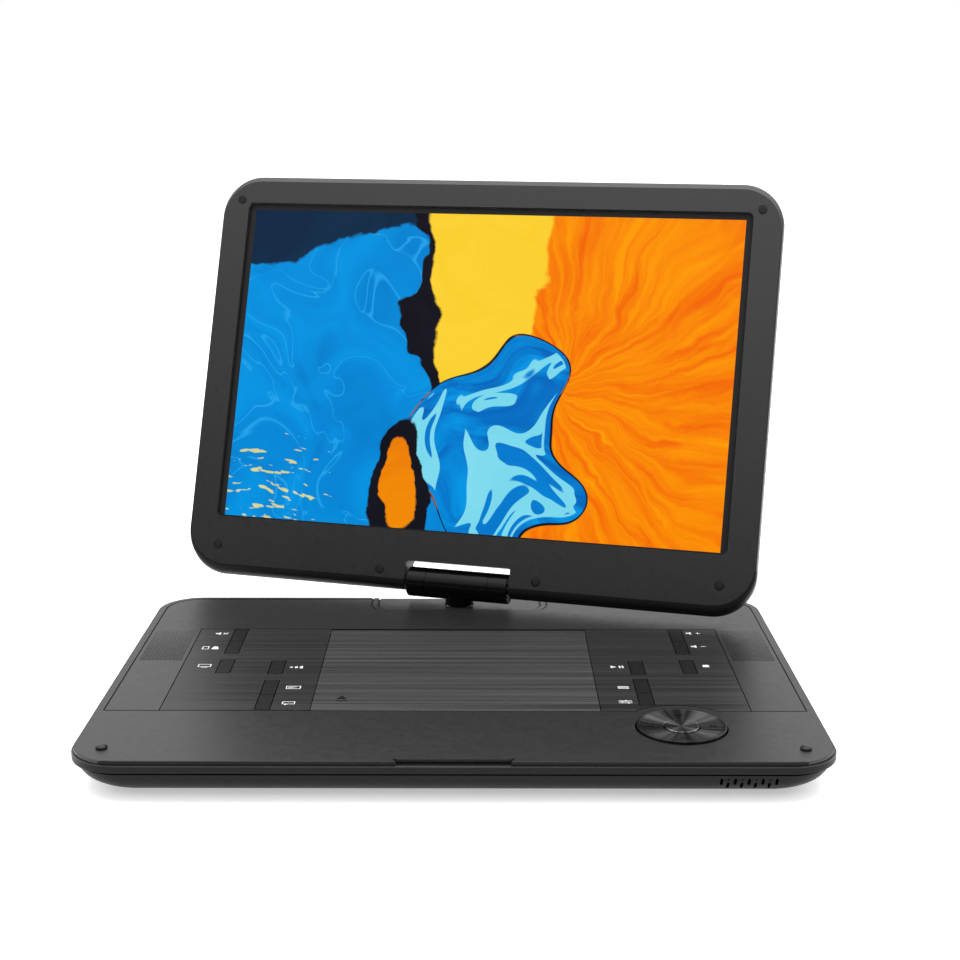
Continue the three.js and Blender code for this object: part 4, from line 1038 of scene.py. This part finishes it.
def drive():
    """The disc well with its spindle, and the pickup on its rods and lead screw."""
    screw = Span("lead_screw")
    r = screw.w / 2
    pitch = screw.d / THREAD_TURNS
    profile = [(0, screw.y0)]
    for i in range(THREAD_TURNS):
        start = screw.y0 + i * pitch
        profile.extend([(r - 0.25, start + 0.01), (r, start + pitch * 0.3), (r, start + pitch * 0.6)])
    thread = lathe("lead_screw_fine", screw.cx, screw.cz, [*profile, (0, screw.y1)], 24, turn=rearwards)
    show(soften(thread), "lead_screw", STEEL, "lead_screw")

    hub = Span("spindle_hub")
    r = hub.w / 2
    profile = [
        (0, hub.z0),
        (r, hub.z0),
        *arc(r - 0.3, 13.3, 0.3, 0, 90, 3),
        (7.4, 13.6),
        (7.2, 15.2),
        *arc(5.8, hub.z1 - 1.2, 1.3, 10, 90, 6, 1.2),
        (3.2, hub.z1),
        (2.9, hub.z1 - 0.5),
        (0, hub.z1 - 0.5),
    ]
    seat = lathe("spindle_hub_fine", hub.cx, hub.cy, profile, 72)
    cut(seat, prism("bore", circle(hub.cx, hub.cy, 1.3, 24), hub.z0 - OVER, Span("spindle_motor").z1 + 0.3))
    show(soften(seat), "spindle_hub", BLACK_PLASTIC, "spindle_hub")
    catches = []
    for x, y in arc(hub.cx, hub.cy, 6.75, 90, 330, 2):
        catches.append(lathe("catch", x, y, arc(0, 14.9, 0.75, -90, 90, 8), 20))
    show(soften(merge("hub_catches", catches)), "spindle_hub", STEEL)

    sled = Span("pickup_sled")
    top = sled.z1
    seat = prism("lens_seat", circle(0, sled.cy, LENS_R + 0.2, 40), top - 0.9, top + OVER)
    holder = cut(copy_of("pickup_sled"), seat)
    show(soften(holder, 0.2), "pickup_sled", BLACK_PLASTIC, "pickup_sled")
    dome = arc(0, top - 0.7, LENS_R, 20, 90, 8, 0.65)
    profile = [(0, top - 1.2), (LENS_R, top - 1.2), (LENS_R, top - 0.7), *dome]
    lens = lathe("pickup_lens", 0, sled.cy, profile, 40)
    show(soften(lens), "pickup_sled", LENS)


# ---- rear wall and plain pieces
# Pieces that keep their solid and only have their edges rounded: body, paint, rounding, nodes.
PLAIN = (
    ("base", BLACK_PLASTIC, 0.25, ("disc_well", *JACK_HOLES)),
    ("base", BLACK_PLASTIC, 0.3, ("speaker_left", "speaker_right")),
    ("nav_pivot", BLACK_PLASTIC, 0.15, ("nav_pivot",)),
    ("latch_plunger", BLACK_PLASTIC, 0.3, ("latch_plunger",)),
    ("base", STEEL, 0.1, ("door_pin_left", "door_pin_right")),
    ("base", STEEL, 0.12, ("usb_port",)),
    ("base", STEEL, 0.15, ("guide_rod_left", "guide_rod_right")),
    ("base", STEEL, 0.3, ("spindle_motor", "sled_motor", "swivel_socket")),
    ("lid", STEEL, 0.2, ("tilt_pin_left", "tilt_pin_right")),
    ("base", BOARD, 0.1, ("main_board", "key_board_left", "key_board_right")),
    ("lid", BOARD, 0.1, ("lid_board",)),
)


def plain_pieces():
    for body, paint, width, nodes in PLAIN:
        for node in nodes:
            refine(node, body, paint, width)
    refine("battery_pack", "base", CELL, 1.2, 3)


def power_switch():
    """The slider's knob, with three grooves for a finger."""
    knob = Span("power_switch")
    grooves = []
    for x in (knob.cx - 1.4, knob.cx, knob.cx + 1.4):
        depth = (knob.y1 - 0.35, knob.y1 + OVER)
        grooves.append(block("groove", x - 0.3, x + 0.3, *depth, knob.z0 - OVER, knob.z1 + OVER))
    slider_knob = cut(copy_of("power_switch"), *grooves)
    show(soften(slider_knob, 0.12), "power_switch", KEY_PLASTIC, "power_switch")


# ---- hinge
SHAFT_R = 6.0
SHAFT_LOW_R = 5.0
COLLAR_R = SHAFT.w / 2
PIN_BORE_R = 3.3
HINGE_Z = TILT_POINT.z / MM


def swivel_shaft():
    """The upright shaft, with the collar that it turns on."""
    low = HINGE_Z + SHAFT.z0
    top = HINGE_Z + SHAFT.z1
    collar_low = DECK_Z - 0.7
    profile = [
        (0, low),
        (SHAFT_LOW_R - 0.4, low),
        (SHAFT_LOW_R, low + 0.4),
        (SHAFT_LOW_R, collar_low),
        *arc(COLLAR_R - 0.4, collar_low + 0.4, 0.4, -90, 0, 4),
        *arc(COLLAR_R - 0.4, HINGE_Z - 8.6, 0.4, 0, 90, 4),
        (SHAFT_R, HINGE_Z - 8.2),
        (SHAFT_R, top - 0.4),
        (SHAFT_R - 0.4, top),
        (0, top),
    ]
    shaft = lathe("swivel_shaft_fine", 0, TILT_POINT.y / MM, profile, 96)
    show(soften(shaft), "swivel", GLOSS_BLACK, "swivel_shaft")


def pin_bores(x0, x1, place):
    """A bore for each tilt pin, from x0 to x1 on both sides."""
    ends = [sorted((side * x0, side * x1)) for side in (-1, 1)]
    return [prism("bore", circle(0, 0, PIN_BORE_R, 40), *end, place, sideways) for end in ends]


def hinge_barrel():
    """The barrel across the top of the shaft, with a seam near each end and a foot round the shaft."""
    r = BARREL.d / 2
    half = BARREL.w / 2
    rim = 0.9
    seam = half * 0.62
    profile = [(0, -half), *arc(r - rim, rim - half, rim, -90, 0, 6)]
    for x in (-seam, seam):
        profile.extend([(r, x - 0.35), (r - 0.4, x - 0.2), (r - 0.4, x + 0.2), (r, x + 0.35)])
    profile.extend([*arc(r - rim, half - rim, rim, 0, 90, 6), (0, half)])
    barrel = lathe("hinge_barrel_fine", 0, 0, profile, 96, SWIVEL_FRAME, sideways)
    low = 0.1 - r
    foot = [(0, low), *arc(COLLAR_R - 0.4, low + 0.4, 0.4, -90, 0, 4), (COLLAR_R, -2.5), (0, -2)]
    join(barrel, lathe("foot", 0, 0, foot, 96, SWIVEL_FRAME))
    socket = prism("socket", circle(0, 0, SHAFT_R + 0.3), -r - OVER, SHAFT.z1 + 0.3, SWIVEL_FRAME)
    cut(barrel, socket, *pin_bores(half - 8, half + OVER, SWIVEL_FRAME))
    show(soften(barrel), "swivel", GLOSS_BLACK, "hinge_barrel")


# ---- lid
LID_R = 27.0
NOTCH_X = 34.8
NOTCH_TOP = 13.0
FACE = BEZEL.y0
WINDOW_X = 169.6
WINDOW_LOW = 32.4
WINDOW_HIGH = 245.2
BEZEL_STEPS = 12
CAP_R = 2.6
CAPS = ((-175.5, 247.5), (175.5, 247.5), (-167, 13), (167, 13), (-52, 5.8), (52, 5.8))
BACK_START = -1.0  # the rear shell's sides are straight up to here
BACK_INSET = 9.0


def lid_outline(side, top, bottom, r):
    return rounded(LID.x0 + side, LID.x1 - side, LID.z0 + bottom, LID.z1 - top, r)


def hinge_notch():
    outline = rounded(-NOTCH_X, NOTCH_X, LID.z0 - 10, NOTCH_TOP, 1.6, 6)
    return prism("notch", outline, FACE - OVER, LID.y1 + OVER, LID_FRAME, rearwards)


def window():
    """The opening over the display, with a sloping inner edge."""

    def outline(grow):
        x = WINDOW_X + grow
        return rounded(-x, x, WINDOW_LOW - grow / 2, WINDOW_HIGH + grow, 3 + grow, 8)

    slope = ((1.2, -OVER), (0.6, 0.0), (0.0, 1.0), (0.0, BEZEL.y1 + OVER - FACE))
    levels = [(outline(grow), FACE + depth) for grow, depth in slope]
    return stack("window", levels, LID_FRAME, rearwards)


def lid_bezel():
    """The front frame: a chamfer along the top, with a painted highlight, and a long rounding along the
    bottom, with painted shade.
    """
    levels = []
    depth = BEZEL.y1 - FACE
    for step in range(BEZEL_STEPS + 1):
        angle = pi / 2 * (1 - step / BEZEL_STEPS)
        drawn = 1 - cos(angle)
        back = depth * sin(angle)
        top = 0.34 * back + 2.7 * max(0.0, 1 - (depth - back) / 1.1)
        outline = lid_outline(1.2 * drawn, top, 1.6 + 5.9 * drawn, LID_R - 1.2 * drawn)
        levels.append((outline, BEZEL.y1 - back))
    bezel = stack("lid_bezel_fine", levels, LID_FRAME, rearwards)
    seats = [(circle(x, z, CAP_R + 0.35), FACE - OVER, FACE + 0.55) for x, z in CAPS]
    seats = [prism("cap_seat", *seat, LID_FRAME, rearwards) for seat in seats]
    cut(bezel, window(), hinge_notch(), *seats)
    show(soften(bezel, angle=12), "lid", BEZEL_SHELL, "lid_bezel")

    # Painted shade goes on the bottom rounding and the low corners, and a painted highlight on the top
    # chamfer and the high corners.
    def round_edge(x, y, z):
        return y > FACE + 0.02 and (z < 30 or z < 60 and abs(x) > 172)

    def chamfer(x, y, z):
        near_top = z > LID.z1 - 9 or z > LID.z1 - 60 and abs(x) > 180
        return near_top and FACE + 0.02 < y < BEZEL.y1 - 1.4

    paint_faces(bezel, PAINTED_SHADE, round_edge, LID_INVERSE)
    paint_faces(bezel, LIP_PAINTED_HIGHLIGHT, chamfer, LID_INVERSE)


def screw_caps():
    dome = [(0, FACE + 0.5), (CAP_R, FACE + 0.5), *arc(CAP_R - 0.3, FACE + 0.2, 0.3, 0, -90, 4)]
    dome += [(CAP_R * t, FACE - 0.1 - 0.12 * (1 - t * t)) for t in (0.8, 0.6, 0.4, 0.2, 0)]
    for number, (x, z) in enumerate(CAPS, 1):
        cap = lathe(f"screw_cap_{number}", x, z, dome, 48, LID_FRAME, rearwards)
        show(soften(cap), "lid", CAP_RUBBER)


def lid_back():
    """The rear shell, hollow behind the display and solid round the hinge pins."""
    rise = LID.y1 - BACK_START
    levels = [(0, 1.4, LID.y0), (0, 0.35, LID.y0 + 1.4), (0, 0, BACK_START)]
    for angle in range(15, 91, 15):
        drawn = 1 - cos(radians(angle))
        levels.append((BACK_INSET * drawn, 6 * drawn, BACK_START + rise * sin(radians(angle))))
    levels = [(lid_outline(inset, inset, low, LID_R - inset * 8 / 9), y) for inset, low, y in levels]
    back = stack("lid_back_fine", levels, LID_FRAME, rearwards)
    hollow = ((2.2, 3.6, 2.2, LID.y0 - OVER), (3.2, 3.6, 3.2, 3.0), (9, 6, 8, LID.y1 - 2.2))
    hollow = [(lid_outline(inset, inset, low, LID_R - r), y) for inset, low, r, y in hollow]
    hollow = stack("hollow", hollow, LID_FRAME, rearwards)
    boss = (-47, 47, FACE - OVER, LID.y1 + OVER, LID.z0 - OVER, NOTCH_TOP + 2.2)
    cut(hollow, block("boss", *boss, LID_FRAME))
    cut(back, hollow, hinge_notch())
    cut(back, *pin_bores(NOTCH_X - OVER, 43.5, LID_FRAME))
    show(soften(back), "lid", LID_SHELL, "lid_back")


def display():
    panel = (PANEL.x0, PANEL.x1, PANEL.y0, PANEL.y1, PANEL.z0, PANEL.z1)
    panel = block("lcd_panel_fine", *panel, LID_FRAME)
    show(soften(panel, 0.4), "lid", DISPLAY, "lcd_panel")
    panel.visible_diffuse = False  # the lit picture doesn't colour the deck
    panel.visible_glossy = False


base_tray()
feet()
top_cover()
bumpers()
speakers()
key_panels()
control_ring()
printed_marks()
disc_door()
drive()
power_switch()
plain_pieces()
swivel_shaft()
hinge_barrel()
lid_bezel()
screw_caps()
lid_back()
display()


# ---- camera, floor and light
CAMERA_LENS = 61.04
CAMERA_PLACE = (0.011, -0.8779, 0.3315)
CAMERA_TURN = -0.122  # degrees
CAMERA_DOWN = 12.892
CAMERA_ROLL = 0.137
FLOOR_HALF = 12.0
FLOOR_GLOW = 0.45
OVERHEAD_PLACE = (0.0, 0.1, 2.2)
OVERHEAD_SIZE = 2.6
OVERHEAD_POWER = 36
ROOM_DIM = 0.06
# The room's bright sides: the direction's axis, where the ramp starts and ends, and its strength.
ROOM_RAMPS = ((1, -0.2, 0.4, 1.0), (2, 0.34, 0.57, 1.8))


def turned(angle, axis):
    return Matrix.Rotation(radians(angle), 4, axis)


def camera():
    data = bpy.data.cameras.new("camera")
    data.sensor_width = 36
    data.lens = CAMERA_LENS
    data.clip_end = 100
    aim = turned(CAMERA_TURN, "Z") @ turned(90 - CAMERA_DOWN, "X") @ turned(CAMERA_ROLL, "Z")
    bpy.context.scene.camera = in_scene("camera", data, Matrix.Translation(CAMERA_PLACE) @ aim)


def overhead_light():
    data = bpy.data.lights.new("overhead", "AREA")
    data.shape = "RECTANGLE"
    data.size = OVERHEAD_SIZE
    data.size_y = OVERHEAD_SIZE
    data.energy = OVERHEAD_POWER
    aim = (Vector() - Vector(OVERHEAD_PLACE)).to_track_quat("-Z", "Y").to_matrix().to_4x4()
    in_scene("overhead", data, Matrix.Translation(OVERHEAD_PLACE) @ aim)


def soft_room():
    """A pale room for the light: white behind the player and overhead, dim on the camera's side."""
    world = bpy.data.worlds.new("studio")
    world.use_nodes = True
    nodes = world.node_tree.nodes
    links = world.node_tree.links
    background = nodes["Background"]
    background.inputs["Color"].default_value = rgb(1.0)
    direction = nodes.new("ShaderNodeSeparateXYZ")
    links.new(nodes.new("ShaderNodeTexCoord").outputs["Generated"], direction.inputs[0])
    brightest = nodes.new("ShaderNodeMath")
    brightest.operation = "MAXIMUM"
    for number, (axis, low, high, strength) in enumerate(ROOM_RAMPS):
        ramp = nodes.new("ShaderNodeMapRange")
        links.new(direction.outputs[axis], ramp.inputs["Value"])
        ramp.inputs["From Min"].default_value = low
        ramp.inputs["From Max"].default_value = high
        ramp.inputs["To Min"].default_value = ROOM_DIM
        ramp.inputs["To Max"].default_value = strength
        links.new(ramp.outputs[0], brightest.inputs[number])
    seen = nodes.new("ShaderNodeMix")
    links.new(nodes.new("ShaderNodeLightPath").outputs["Is Camera Ray"], seen.inputs[0])
    links.new(brightest.outputs[0], seen.inputs[2])
    seen.inputs[3].default_value = 1.0
    links.new(seen.outputs[0], background.inputs["Strength"])
    return world


def studio():
    """A pale floor that fades into a white room."""
    mesh = bpy.data.meshes.new("floor")
    corners = box_outline(-FLOOR_HALF, FLOOR_HALF, -FLOOR_HALF, FLOOR_HALF)
    mesh.from_pydata([(x, y, FLOOR_Z * MM) for x, y in corners], [], [(0, 1, 2, 3)])
    floor = in_scene("floor", mesh)
    settle(floor)
    paint = Paint("floor", Specular_IOR_Level=0.2)
    paint.colour(paint.noise(3, 3), 0.88, 0.9)
    paint.rough(paint.noise(8, 3), 0.7, 0.8)
    paint.shader.inputs["Emission Color"].default_value = rgb(1.0)
    paint.shader.inputs["Emission Strength"].default_value = FLOOR_GLOW
    floor.data.materials.append(paint.material)
    bpy.context.scene.world = soft_room()
    overhead_light()


camera()
studio()
bpy.context.scene.view_settings.view_transform = "Standard"
